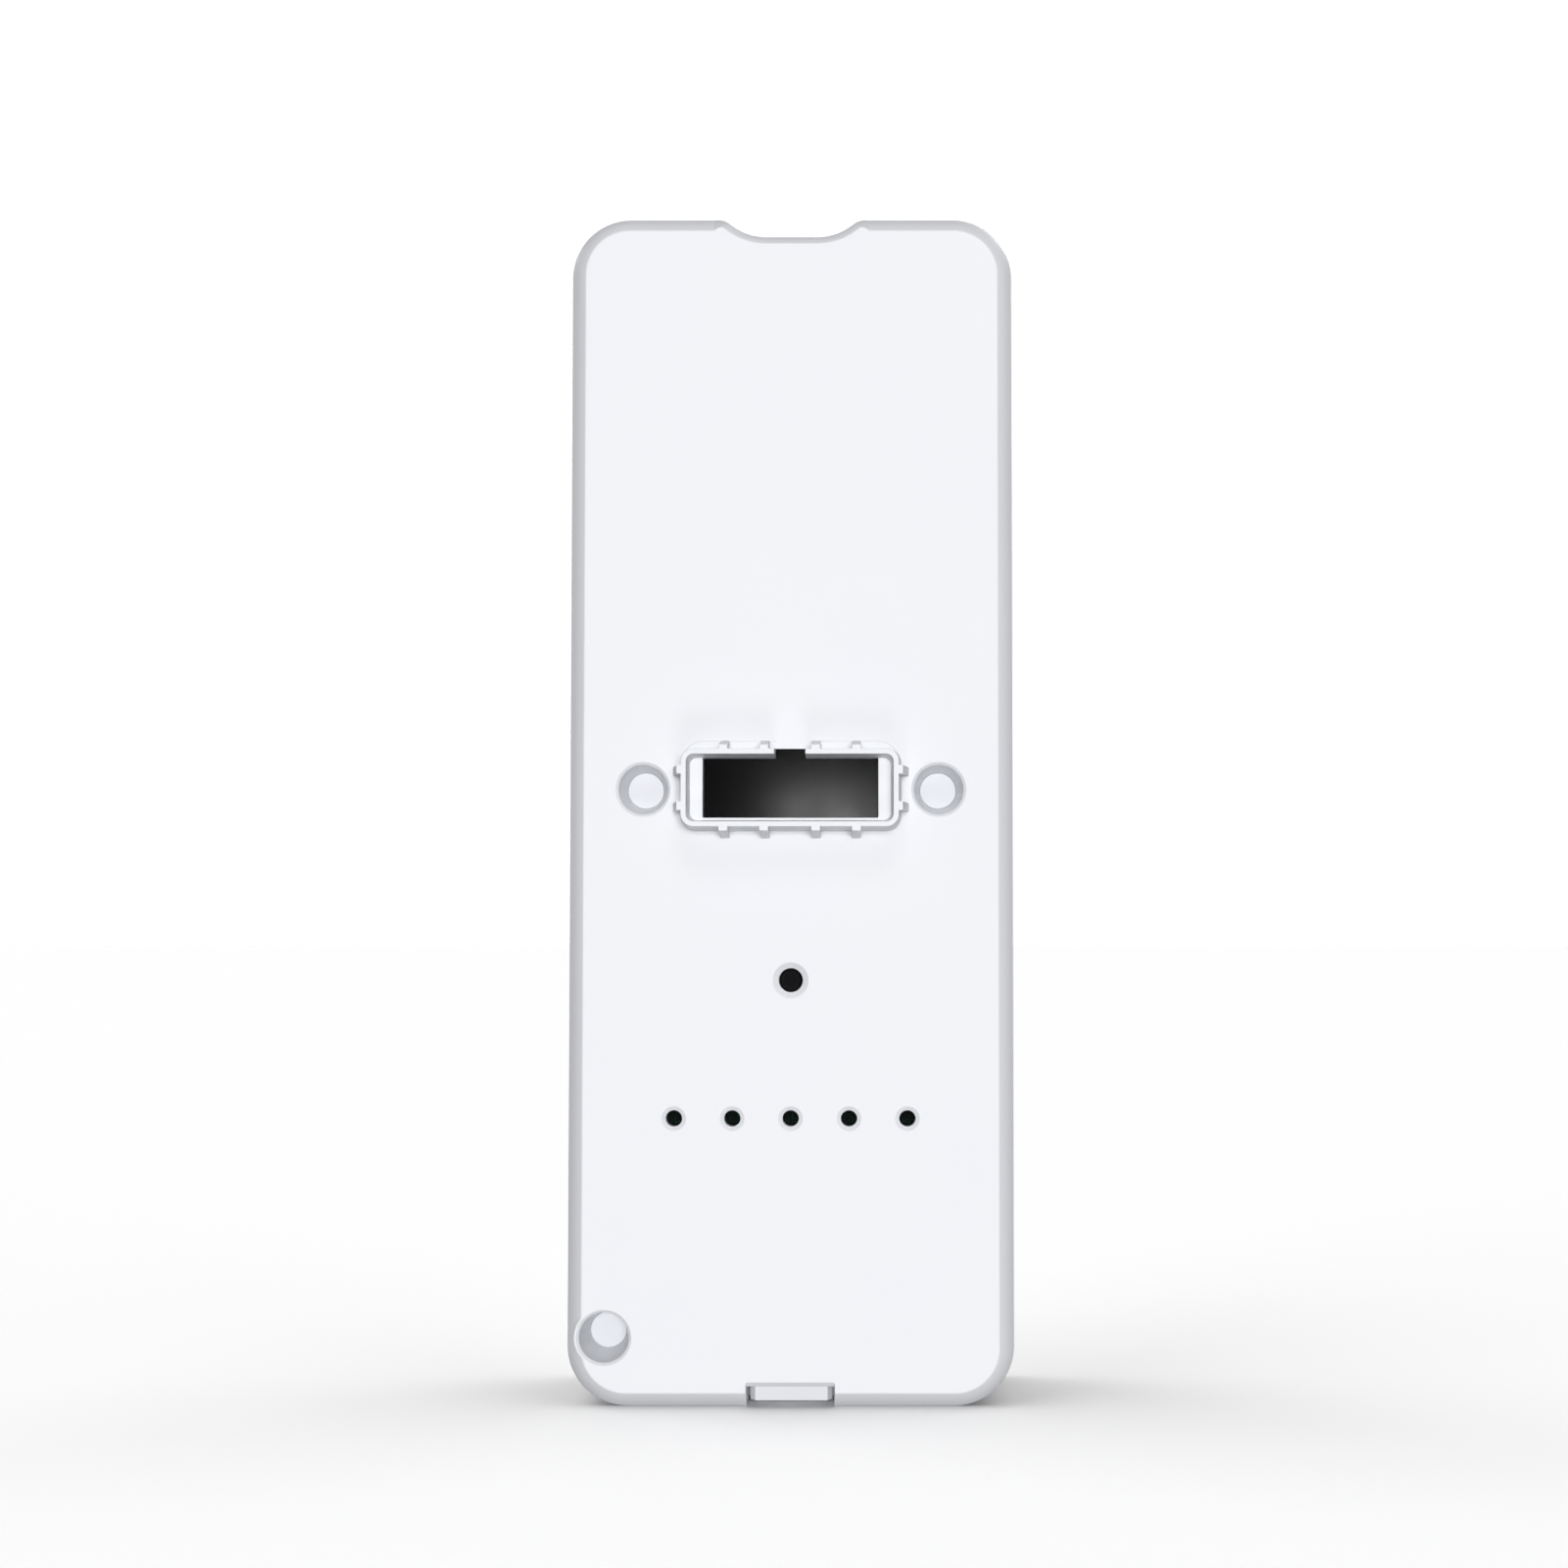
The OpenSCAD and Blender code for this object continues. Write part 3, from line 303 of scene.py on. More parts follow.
def block(x0, x1, z0, z1, d0, d1, r=0.0, edge=0.0):
    """A box along the depth, with corner radius r and its two ends rounded by edge."""
    if r == 0 and edge == 0:
        return prism([(x0, z0), (x1, z0), (x1, z1), (x0, z1)], d0, d1)
    r = max(r, edge)
    path = [(0.0, d0)] if edge == 0 else edge_turn(edge, d0, 1)
    path += [(0.0, d1)] if edge == 0 else edge_turn(edge, d1, -1)[::-1]
    return loft(
        [at_depth(slab(x0 + i, x1 - i, z0 + i, z1 - i, r - i * 0.99, r - i * 0.99), d) for i, d in path]
    )


def edge_turn(r, d, sign, steps=3):
    """(inset, depth) points that round an edge at depth d; sign 1 rounds towards greater depths."""
    angles = [math.pi / 2 * k / steps for k in range(steps + 1)]
    return [(r * (1 - math.sin(a)), d + sign * r * (1 - math.cos(a))) for a in angles]


def pocket(x0, x1, z0, z1, r, d0, d1, mouth=0.1, steps=8):
    """A cutter with rounded corners whose mouth, at depth d0, flares out by mouth."""
    into = 1 if d1 > d0 else -1
    path = [(-mouth * 1.6, d0 - into * mouth)] + [(-i, d) for i, d in flare(mouth, d0, into)] + [(0.0, d1)]
    return loft([at_depth(slab(x0 + i, x1 - i, z0 + i, z1 - i, r - i, r - i, steps), d) for i, d in path])


def flare(r, d0, into=1):
    """(outset, depth) points of a convex mouth edge of radius r at depth d0, cut in the direction into."""
    angles = [math.radians(a) for a in (15, 40, 65, 90)]
    return [(r * (1 - math.sin(a)), d0 + into * r * (1 - math.cos(a))) for a in angles]


def bore(x, z, r, d0, d1, mouth=0.1, sides=64):
    """A round cutter whose mouth, at depth d0, flares out by mouth."""
    into = 1 if d1 > d0 else -1
    path = [(r + mouth * 1.6, d0 - into * mouth)] + [(r + o, d) for o, d in flare(mouth, d0, into)]
    return loft([at_depth(circle(x, z, q, sides), d) for q, d in path + [(r, d1)]])


def post(x, z, r, d0, d1, sides=32):
    """A plain round bar along the depth."""
    return loft([at_depth(circle(x, z, r, sides), d) for d in (d0, d1)])


def combine(base, operation, others):
    """Base after an exact boolean with other solids, which are used up."""
    group = bpy.data.collections.new("operands")
    bpy.context.scene.collection.children.link(group)
    for o in others:
        bpy.context.scene.collection.objects.unlink(o)
        group.objects.link(o)
    modifier = base.modifiers.new("combine", "BOOLEAN")
    modifier.operation, modifier.solver = operation, "EXACT"
    modifier.operand_type, modifier.collection = "COLLECTION", group
    graph = bpy.context.evaluated_depsgraph_get()
    mesh = bpy.data.meshes.new_from_object(base.evaluated_get(graph))
    base.modifiers.clear()
    base.data = mesh
    for o in others:
        bpy.data.objects.remove(o)
    bpy.data.collections.remove(group)
    return base


def add(base, *others):
    """Base joined with the others."""
    return combine(base, "UNION", others)


def cut(base, *others):
    """Base with the others cut out of it."""
    return combine(base, "DIFFERENCE", others)


def piece(obj, name, body, material, nodes, sharp=38, weighted=True):
    """Finishes a solid as a shown piece: metres, smooth shading, material and body, with the CAD nodes it
    stands for hidden.
    """
    obj.name = obj.data.name = name
    obj.data.transform(Matrix.Scale(MM, 4))
    obj.data.materials.clear()
    obj.data.materials.append(material)
    for polygon in obj.data.polygons:
        polygon.use_smooth = True
        polygon.material_index = 0
    obj.data.set_sharp_from_angle(angle=math.radians(sharp))
    if weighted:
        modifier = obj.modifiers.new("normals", "WEIGHTED_NORMAL")
        modifier.weight, modifier.keep_sharp = 90, True
    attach(obj, body)
    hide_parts(*nodes)
    return obj


# ---- materials ----


class Shader:
    """Builds one node material round a Principled shader."""

    def __init__(self, name, color, roughness, **values):
        self.material = bpy.data.materials.new(name)
        self.material.use_nodes = True
        self.nodes = self.material.node_tree.nodes
        self.links = self.material.node_tree.links
        self.surface = self.nodes["Principled BSDF"]
        self.surface.inputs["Base Color"].default_value = (*color, 1)
        self.surface.inputs["Roughness"].default_value = roughness
        for key, value in values.items():
            self.surface.inputs[key.replace("_", " ")].default_value = value
        self.color, self.roughness = color, roughness
        self.place = self.nodes.new("ShaderNodeTexCoord").outputs["Object"]

    def node(self, kind, inputs=None, **settings):
        """A new node whose inputs are set to values or linked to sockets."""
        made = self.nodes.new(kind)
        for key, value in settings.items():
            setattr(made, key, value)
        for key, value in (inputs or {}).items():
            if isinstance(value, bpy.types.NodeSocket):
                self.links.new(value, made.inputs[key])
            else:
                made.inputs[key].default_value = value
        return made

    def noise(self, grain_mm, detail=2.0, stretch=None, distortion=0.0):
        """Noise whose features are about grain_mm across."""
        place = self.place
        if stretch:
            place = self.node("ShaderNodeMapping", {"Vector": place, "Scale": stretch}).outputs[0]
        return self.node(
            "ShaderNodeTexNoise",
            {"Vector": place, "Scale": 1 / (grain_mm * MM), "Detail": detail, "Distortion": distortion},
        ).outputs["Fac"]

    def cells(self, grain_mm):
        """Distance from the middle of cells that are about grain_mm across."""
        inputs = {"Vector": self.place, "Scale": 1 / (grain_mm * MM)}
        return self.node("ShaderNodeTexVoronoi", inputs).outputs["Distance"]

    def span(self, value, start, end, source=(0.3, 0.7)):
        """Maps a noise value to the range from start to end."""
        inputs = {"Value": value, 1: source[0], 2: source[1], 3: start, 4: end}
        return self.node("ShaderNodeMapRange", inputs).outputs[0]

    def tone(self, factor, other, source=(0.3, 0.7)):
        """Colour that runs from the base colour to another one."""
        mix = self.node("ShaderNodeMix", data_type="RGBA")
        self.links.new(self.span(factor, 0, 1, source), mix.inputs["Factor"])
        mix.inputs["A"].default_value = (*self.color, 1)
        mix.inputs["B"].default_value = (*other, 1)
        self.links.new(mix.outputs["Result"], self.surface.inputs["Base Color"])

    def shine(self, factor, spread, source=(0.3, 0.7)):
        """Roughness that varies by plus and minus spread."""
        low_end, high_end = self.roughness - spread, self.roughness + spread
        self.links.new(self.span(factor, low_end, high_end, source), self.surface.inputs["Roughness"])

    def bump(self, height, depth_mm, strength=1.0):
        """Relief depth_mm deep, on top of any relief already there."""
        inputs = {"Height": height, "Strength": strength, "Distance": depth_mm * MM}
        bump = self.node("ShaderNodeBump", inputs)
        if self.surface.inputs["Normal"].is_linked:
            before = self.surface.inputs["Normal"].links[0].from_socket
            self.links.new(before, bump.inputs["Normal"])
        self.links.new(bump.outputs[0], self.surface.inputs["Normal"])


def moulded(name, color, roughness, other, grain=0.22, depth=0.004, spread=0.05, **values):
    """Moulded plastic with a spark-eroded grain and faint flow clouds."""
    s = Shader(name, color, roughness, **values)
    s.tone(s.noise(26, 3), other)
    s.shine(s.noise(3.5, 3), spread)
    s.bump(s.noise(grain, 3), depth)
    s.bump(s.noise(grain * 9, 2), depth * 1.5, 0.5)
    return s.material


white_shell = moulded("white_shell", (0.69, 0.70, 0.73), 0.42, (0.70, 0.71, 0.735))
# A darker copy of the shell's white: painted shade for the plugs at the bottom of the wells. The release
# catch uses it too.
white_small = moulded("white_small", (0.62, 0.63, 0.658), 0.36, (0.63, 0.64, 0.665), grain=0.16)
grained_black = moulded(
    "grained_black", (0.0015, 0.0015, 0.002), 0.09, (0.002, 0.002, 0.0025), 0.25, 0.0006, 0.008
)
satin_black = moulded("satin_black", (0.004, 0.004, 0.0045), 0.4, (0.006, 0.006, 0.007), 0.2, 0.003)


def glossy_panel():
    """Hard-coated gloss panel: faint orange peel and wiping haze under a clear coat."""
    s = Shader("gloss_black", (0.006, 0.006, 0.0075), 0.12, Coat_Weight=0.6, Coat_Roughness=0.03, IOR=1.5)
    s.tone(s.noise(35, 2), (0.010, 0.010, 0.012))
    s.shine(s.noise(14, 4), 0.035)
    s.bump(s.noise(3.2, 2), 0.002, 0.6)
    return s.material


def glass(name, color, film=0.0):
    """Polished glass, with a thin coating where film is its thickness in nanometres."""
    s = Shader(name, color, 0.02, IOR=1.52, Transmission_Weight=1.0, Thin_Film_Thickness=film)
    s.shine(s.noise(5, 3), 0.012)
    s.bump(s.noise(4, 2), 0.001, 0.4)
    return s.material


def frosted_guide():
    """Milky light guide with a fine matt surface."""
    s = Shader(
        "frosted_guide", (0.80, 0.84, 0.87), 0.42, Transmission_Weight=0.35, IOR=1.49, Coat_Weight=0.15
    )
    s.tone(s.noise(1.8, 3), (0.86, 0.88, 0.9))
    s.shine(s.noise(0.6, 2), 0.06)
    s.bump(s.noise(0.18, 2), 0.004)
    return s.material


def turned_button():
    """Satin button face with faint turned rings."""
    pitch = 1.1 * MM
    s = Shader("button_face", (0.62, 0.63, 0.65), 0.3, Metallic=0.85, Anisotropic=0.4)
    offset = (0, 0, -BUTTON_Z * MM)
    place = s.node("ShaderNodeMapping", {"Vector": s.place, "Location": offset}).outputs[0]
    inputs = {"Vector": place, "Scale": 1 / pitch, "Distortion": 0.6, "Detail": 2.0}
    rings = s.node("ShaderNodeTexWave", inputs, wave_type="RINGS", rings_direction="Y").outputs["Fac"]
    s.tone(s.noise(9, 3), (0.68, 0.69, 0.70))
    s.shine(rings, 0.05, (0, 1))
    s.bump(rings, 0.003, 0.6)
    s.bump(s.noise(0.15, 2), 0.002, 0.5)
    return s.material


def metal(name, color, roughness, other, stretch=None, grain=0.3):
    """Machined or rolled metal, brushed along the axis that stretch shrinks."""
    s = Shader(name, color, roughness, Metallic=1.0)
    brush = s.noise(grain, 3, stretch)
    s.tone(s.noise(4, 3), other)
    s.shine(brush, 0.08)
    s.bump(brush, 0.003)
    return s.material


def circuit_board():
    """Solder mask over copper tracks: rectangular track pattern with a slight relief."""
    spacing = 4 * MM
    s = Shader("circuit_board", (0.008, 0.055, 0.03), 0.3, Coat_Weight=0.4, Coat_Roughness=0.12)
    turned = s.node("ShaderNodeMapping", {"Vector": s.place, "Rotation": (math.pi / 2, 0, 0)}).outputs[0]
    inputs = {
        "Vector": turned, "Scale": 1 / spacing, "Mortar Size": 0.035, "Brick Width": 1.3, "Row Height": 0.42,
    }
    tracks = s.node("ShaderNodeTexBrick", inputs).outputs["Fac"]
    s.tone(tracks, (0.02, 0.12, 0.06), (0, 1))
    s.shine(s.noise(2, 3), 0.05)
    s.bump(tracks, 0.02, 0.8)
    s.bump(s.noise(0.25, 2), 0.002)
    return s.material


def foamed(name, color, other, pore):
    """Open foam or rubber whose pores are about pore millimetres across."""
    s = Shader(name, color, 0.85, Sheen_Weight=0.15)
    holes = s.cells(pore)
    s.tone(holes, other, (0.1, 0.7))
    s.shine(s.noise(pore * 3, 2), 0.06)
    s.bump(holes, pore * 0.3)
    return s.material


def wrapped_cell():
    """Pouch cell in creased foil."""
    s = Shader("cell_foil", (0.62, 0.63, 0.66), 0.34, Metallic=0.9)
    s.tone(s.noise(7, 3), (0.70, 0.71, 0.73))
    s.shine(s.noise(1.4, 3), 0.07)
    s.bump(s.noise(2.6, 4, distortion=1.2), 0.06)
    return s.material


gloss_black = glossy_panel()
clear_glass = glass("clear_glass", (0.97, 0.98, 0.98))
coated_glass = glass("coated_glass", (0.88, 0.93, 0.97), 320.0)
filter_glass = glass("filter_glass", (0.55, 0.80, 0.86), 420.0)
frosted = frosted_guide()
button_face = turned_button()
mesh_black = moulded("mesh_black", (0.004, 0.004, 0.0042), 0.5, (0.006, 0.006, 0.0065), 0.05, 0.002)
steel = metal("steel", (0.58, 0.58, 0.6), 0.3, (0.66, 0.66, 0.67), (1, 8, 1))
spring_steel = metal("spring_steel", (0.5, 0.5, 0.52), 0.24, (0.6, 0.6, 0.62), (1, 1, 5), 0.12)
tin = metal("tin", (0.68, 0.68, 0.69), 0.36, (0.74, 0.74, 0.74), (6, 1, 1))
copper = metal("copper", (0.75, 0.36, 0.2), 0.34, (0.82, 0.45, 0.27), (1, 1, 6))
contact_gold = metal("contact_gold", (0.83, 0.62, 0.28), 0.25, (0.88, 0.68, 0.34), (1, 6, 1), 0.15)
polyimide = moulded("polyimide", (0.52, 0.22, 0.04), 0.3, (0.62, 0.28, 0.06), 0.6, 0.004)
component = moulded("component", (0.02, 0.02, 0.022), 0.55, (0.035, 0.035, 0.038), 0.12, 0.004)
connector = moulded("connector", (0.6, 0.56, 0.46), 0.45, (0.68, 0.64, 0.53), 0.2, 0.003)
led_dark = moulded(
    "led_dark", (0.03, 0.012, 0.03), 0.12, (0.05, 0.02, 0.045), 0.5, 0.002, 0.03, Coat_Weight=0.6
)
rubber = foamed("rubber", (0.02, 0.02, 0.022), (0.035, 0.035, 0.037), 0.12)
foam = foamed("foam", (0.05, 0.05, 0.053), (0.10, 0.10, 0.105), 0.35)
board = circuit_board()
cell_wrap = wrapped_cell()

INNER_FINISH = {
    rubber: ("housing_gasket", "speaker_gasket", "mic_boot", "panel_tape"),
    foam: ("cell_pad", "speaker_cone"),
    steel: (
        "housing_screws", "terminal_screws", "camera_screws", "button_board_screws", "main_board_screws",
        "speaker_magnet",
    ),
    tin: ("shield_can",),
    copper: ("wifi_antenna", "ir_cut_actuator"),
    contact_gold: ("speaker_contacts", "switch_plunger"),
    polyimide: ("button_flex",),
    component: (
        "terminal_block", "tamper_switch", "board_chips", "power_parts", "button_switch", "image_sensor",
        "light_sensor", "microphone", "camera_holder", "speaker_frame",
    ),
    connector: ("camera_connector", "ring_leds"),
    led_dark: ("ir_leds",),
    filter_glass: ("ir_cut_filter",),
    board: ("main_board", "camera_board", "button_board"),
    cell_wrap: ("backup_cell",),
}


def dress_inner_nodes():
    """Gives each CAD node that stays its own finish."""
    for material, names in INNER_FINISH.items():
        for name in names:
            mesh = frame["nodes"][name].data
            mesh.materials.clear()
            mesh.materials.append(material)


# ---- the two halves of the housing ----


def skin(profile):
    """The housing's outside from (inset, depth) points; near the bevel the dip takes a smaller share."""
    rings = []
    for inset, d in profile:
        share = DIP_BEVEL_SHARE if d < SPLIT_D / 2 else 1
        rings.append(at_depth(housing_outline(inset, inset * share), d, d * share))
    return loft(rings)


def collar_outline(d, inset):
    """The collar's outer outline at depth d; it grows towards its foot."""
    out = COLLAR_DRAFT * min(max(d / COLLAR_H + 1, 0), 1) - inset
    half, rise, r = COLLAR_W / 2 + out, COLLAR_T / 2 + out, COLLAR_CORNER + out
    return slab(-half, half, COLLAR_Z - rise, COLLAR_Z + rise, r, r, 14)


def foot_flare(r, d, steps=4):
    """(inset, depth) points of a fillet of radius r that runs out into a flat face at depth d."""
    angles = [math.radians(80 * k / steps) for k in range(steps + 1)]
    return [(-r * (1 - math.cos(a)), d - r * (1 - math.sin(a))) for a in angles]


def collar_solid():
    """The collar's outer body, rounded at its face and flared where it meets the wall face."""
    face_r, foot_r = 0.1, 0.14
    path = edge_turn(face_r, -COLLAR_H, 1) + foot_flare(foot_r, 0.0) + [(-foot_r, WALL / 2)]
    return loft([at_depth(collar_outline(d, i), d) for i, d in path])


def collar_pad():
    """Low pad above the collar, on which its upper ribs stand; its lower half is inside the collar."""
    edge_r, foot_r = 0.06, 0.08
    half, top = COLLAR_W / 2 + PAD_SIDE, COLLAR_Z + COLLAR_T / 2 + PAD_REACH
    r = COLLAR_CORNER + PAD_REACH
    rings = []
    for i, d in edge_turn(edge_r, -PAD_H, 1) + foot_flare(foot_r, 0.0, 3) + [(-foot_r, WALL / 2)]:
        rings.append(at_depth(slab(i - half, half - i, COLLAR_Z, top - i, COLLAR_CORNER, r - i, 14), d))
    return loft(rings)


def rib(at_x, at_z, direction):
    """One crush rib; direction is the unit (x, z) in which it stands out of the collar."""
    edge, root, tip_r, half = 0.07, 0.42, 0.1, RIB_W / 2
    rings = []
    for inset, d in edge_turn(edge, -COLLAR_H, 1) + [(0.0, 0.0), (0.0, WALL / 2)]:
        t = min(d / COLLAR_H + 1, 1)
        reach = RIB_FACE + (RIB_FOOT - RIB_FACE) * t - inset
        section = slab(-half + inset, half - inset, -root, reach, 0.02, tip_r - inset * 0.9, 4)
        turned = []
        for u, v, _ in section:
            x = at_x + u * direction[1] + v * direction[0]
            turned.append((x, at_z - u * direction[0] + v * direction[1]))
        rings.append(at_depth(turned, d))
    return loft(rings)


def ribs():
    """All the crush ribs, mirrored above and below and left and right."""
    made = []
    for x in RIB_X:
        made += [rib(x, COLLAR_Z + COLLAR_T / 2, (0, 1)), rib(x, COLLAR_Z - COLLAR_T / 2, (0, -1))]
    for z in RIB_Z:
        made += [rib(COLLAR_W / 2, COLLAR_Z + z, (1, 0)), rib(-COLLAR_W / 2, COLLAR_Z + z, (-1, 0))]
    return made


def collar_cuts():
    """Cutters for the collar's tapered mouth, its window and the slot for the wires."""
    lip, mouth_r, face_edge, ledge = 0.14, 0.8, 0.08, 0.27
    half, side_taper = COLLAR_W / 2 - COLLAR_WALL, 0.25
    face_low, face_high = COLLAR_Z - COLLAR_T / 2 + COLLAR_WALL, COLLAR_Z + COLLAR_T / 2 - COLLAR_WALL
    rings = []
    for outset, d in [(lip, -COLLAR_H - 0.1)] + flare(face_edge, -COLLAR_H) + [(0.0, LEDGE_D)]:
        t = (d + COLLAR_H) / (LEDGE_D + COLLAR_H)
        x = half - side_taper * t + outset
        z0 = face_low + (WINDOW_LOW - ledge - face_low) * t - outset
        z1 = face_high + (WINDOW_TOP - face_high) * t + outset
        rings.append(at_depth(slab(-x, x, z0, z1, mouth_r + outset, mouth_r + outset, 10), d))
    window = pocket(-WINDOW_W / 2, WINDOW_W / 2, WINDOW_LOW, WINDOW_TOP, 0.12, LEDGE_D, WALL + 1, 0.06)
    slot_low = WINDOW_TOP - 0.3
    slot = pocket(-SLOT_W / 2, SLOT_W / 2, slot_low, COLLAR_Z + COLLAR_T, 0.1, -COLLAR_H, 0.0, 0.08)
    tongue = block(-SLOT_W / 2, SLOT_W / 2, slot_low, SLOT_TOP, -0.3, WALL + 1)
    return [loft(rings), window, slot, tongue]


def well_cut(x, z, d, end_d):
    """Cutter for a tapered socket d deep, the plug and screw head under it, and the screw's shank."""
    seat_d = d + PLUG_T + HEAD_H
    corners = [
        (WELL_RIM_R + 0.25, -0.25, 0), (WELL_RIM_R, 0, 0.05), (WELL_EDGE_R, WELL_CHAMFER, 0.1),
        (PLUG_R, d, 0), (PLUG_R, seat_d, 0), (SHANK_R + GAP, seat_d, 0), (SHANK_R + GAP, end_d + 1, 0),
    ]
    return lathe(x, z, corners, sides=96)


def hole_cut(x, z, r, mouth_r, deep, end_d):
    """Cutter for a round hole with a conical mouth."""
    slope = (mouth_r - r) / deep
    corners = [(mouth_r + slope * 0.2, -0.2, 0), (mouth_r, 0, 0.06), (r, deep, 0.12), (r, end_d, 0)]
    return lathe(x, z, corners, sides=48)


def notch_cuts():
    """The notch in the lower edge, with its upper edge chamfered at the wall face."""
    chamfer, front_d = 0.5, CATCH_REAR_D + 0.3
    x, top = NOTCH_W / 2, NOTCH_H
    rings = []
    path = rounded_path([(0.2, -0.2, 0), (0, 0, 0.06), (-chamfer, chamfer, 0.08), (-chamfer, front_d, 0)], 3)
    for rise, d in path:
        side = max(0.0, 0.1 - d) * 0.6
        rings.append(at_depth(slab(-x - side, x + side, -1, top + rise, 0.05, 0.25), d))
    return [loft(rings)]


def catch_guide():
    """Box that guides the release catch and holds its spring."""
    root_d, front_d = WALL - 0.5, CATCH_REAR_D + 0.3
    half, cheek, floor_z, top_z, sill = 7.0, 0.7, 1.1, 10.7, NOTCH_H - 0.5
    outer = half + cheek
    cheeks = [block(s * half - cheek, s * half + cheek, floor_z, top_z, root_d, front_d) for s in (-1, 1)]
    return cheeks + [
        block(-outer, outer, sill, 8, root_d, CATCH_D - 0.3),
        block(-outer, outer, CATCH_CEILING, top_z, root_d, front_d),
        block(-outer, outer, floor_z, top_z, front_d, front_d + 1.1),
    ]


def bevel_profile():
    """(inset, depth) points of the crowned bevel, with its two edges rounded."""
    steps, slant = 8, math.hypot(BEVEL_W, BEVEL_D)
    corners = [(BEVEL_W + 0.6, 0, 0)]
    for k in range(steps + 1):
        t = k / steps
        rise = BEVEL_CROWN * 4 * t * (1 - t)
        inset, d = BEVEL_W * (1 - t) - rise * BEVEL_D / slant, BEVEL_D * t - rise * BEVEL_W / slant
        corners.append((inset, d, 0.3 if k in (0, steps) else 0))
    return rounded_path(corners + [(0, 4, 0)], 4)[1:-1]


def rear_shell():
    """White rear half: bevel, collar, sockets, holes, the catch's notch, and the bosses inside."""
    profile = [(BEVEL_W + 0.8, 0.0)] + bevel_profile() + [(0.0, 5.0), (0.0, SPLIT_D - SEAM), (SEAM, SPLIT_D)]
    shell = skin(profile)
    inner = housing_outline(WALL, WALL)
    cut(shell, loft([at_depth(inner, WALL), at_depth(inner, SPLIT_D + 1)]))
    root_d, post_r, tamper_boss_d, tamper_bore_r = WALL - 0.5, 2.1, 5.4, 2.8
    bosses = [lathe(x, z, [(BOSS_R, root_d, 0), (BOSS_R, end, 0)]) for x, z, _, end in WELLS]
    posts = [(s * 17.5, z) for s in (-1, 1) for z in (17.0, 120.6)]
    bosses += [lathe(x, z, [(post_r, root_d, 0), (post_r, BOARD_D, 0)], sides=32) for x, z in posts]
    bosses.append(lathe(0, TAMPER_Z, [(BOSS_R, root_d, 0), (BOSS_R, tamper_boss_d, 0)]))
    lip_r, lip_edge = WELL_RIM_R + WELL_LIP, 0.14
    lip = [(lip_r - 0.2, 0, 0), (lip_r - lip_edge, 0, 0), (lip_r, lip_edge, 0), (lip_r, WALL, 0)]
    bosses.append(lathe(CORNER_X, CORNER_Z, lip, sides=96))
    add(shell, collar_solid(), collar_pad(), *ribs(), *bosses, *catch_guide())
    cuts = collar_cuts() + notch_cuts() + [well_cut(*w) for w in WELLS]
    cuts += [lathe(x, z, [(PILOT_R, 4, 0), (PILOT_R, BOARD_D + 1, 0)], sides=24) for x, z in posts]
    cuts.append(hole_cut(0, TAMPER_Z, TAMPER_HOLE_R, TAMPER_MOUTH_R, TAMPER_MOUTH_D, WALL + 0.5))
    cuts.append(lathe(0, TAMPER_Z, [(tamper_bore_r, WALL, 0), (tamper_bore_r, 6, 0)]))
    for i in range(VENT_COUNT):
        x = (i - (VENT_COUNT - 1) / 2) * VENT_PITCH
        cuts.append(hole_cut(x, VENT_Z, VENT_R, VENT_MOUTH_R, VENT_MOUTH_D, WALL + 1))
    cut(shell, *cuts)
    return piece(shell, "rear_shell", "housing", white_shell, ["rear_housing"])


def front_ports(d0, d1, extra=0.0, mouth=0.08):
    """Cutters for the grille slots, the microphone hole and the light pipe's hole."""
    r = GRILLE_R + extra
    cuts = []
    for i in range(GRILLE_COUNT):
        x, half = (i - (GRILLE_COUNT - 1) / 2) * GRILLE_PITCH, GRILLE_HALF + r
        cuts.append(pocket(x - r, x + r, SPEAKER_Z - half, SPEAKER_Z + half, r, d0, d1, mouth))
    cuts.append(bore(0, MIC_Z, MIC_R, d0, d1, mouth, 32))
    cuts.append(bore(LIGHT_X, LIGHT_Z, LIGHT_R + GAP, d0, d1, mouth, 32))
    return cuts


def centred(w, h, z, r, d0, d1, mouth=0.0):
    """A rounded block centred on x; with a mouth it is a cutter that opens at d0."""
    if mouth:
        return pocket(-w / 2, w / 2, z - h / 2, z + h / 2, r, d0, d1, mouth, 12)
    outline = slab(-w / 2, w / 2, z - h / 2, z + h / 2, r, r, 12)
    return loft([at_depth(outline, d) for d in (d0, d1)])


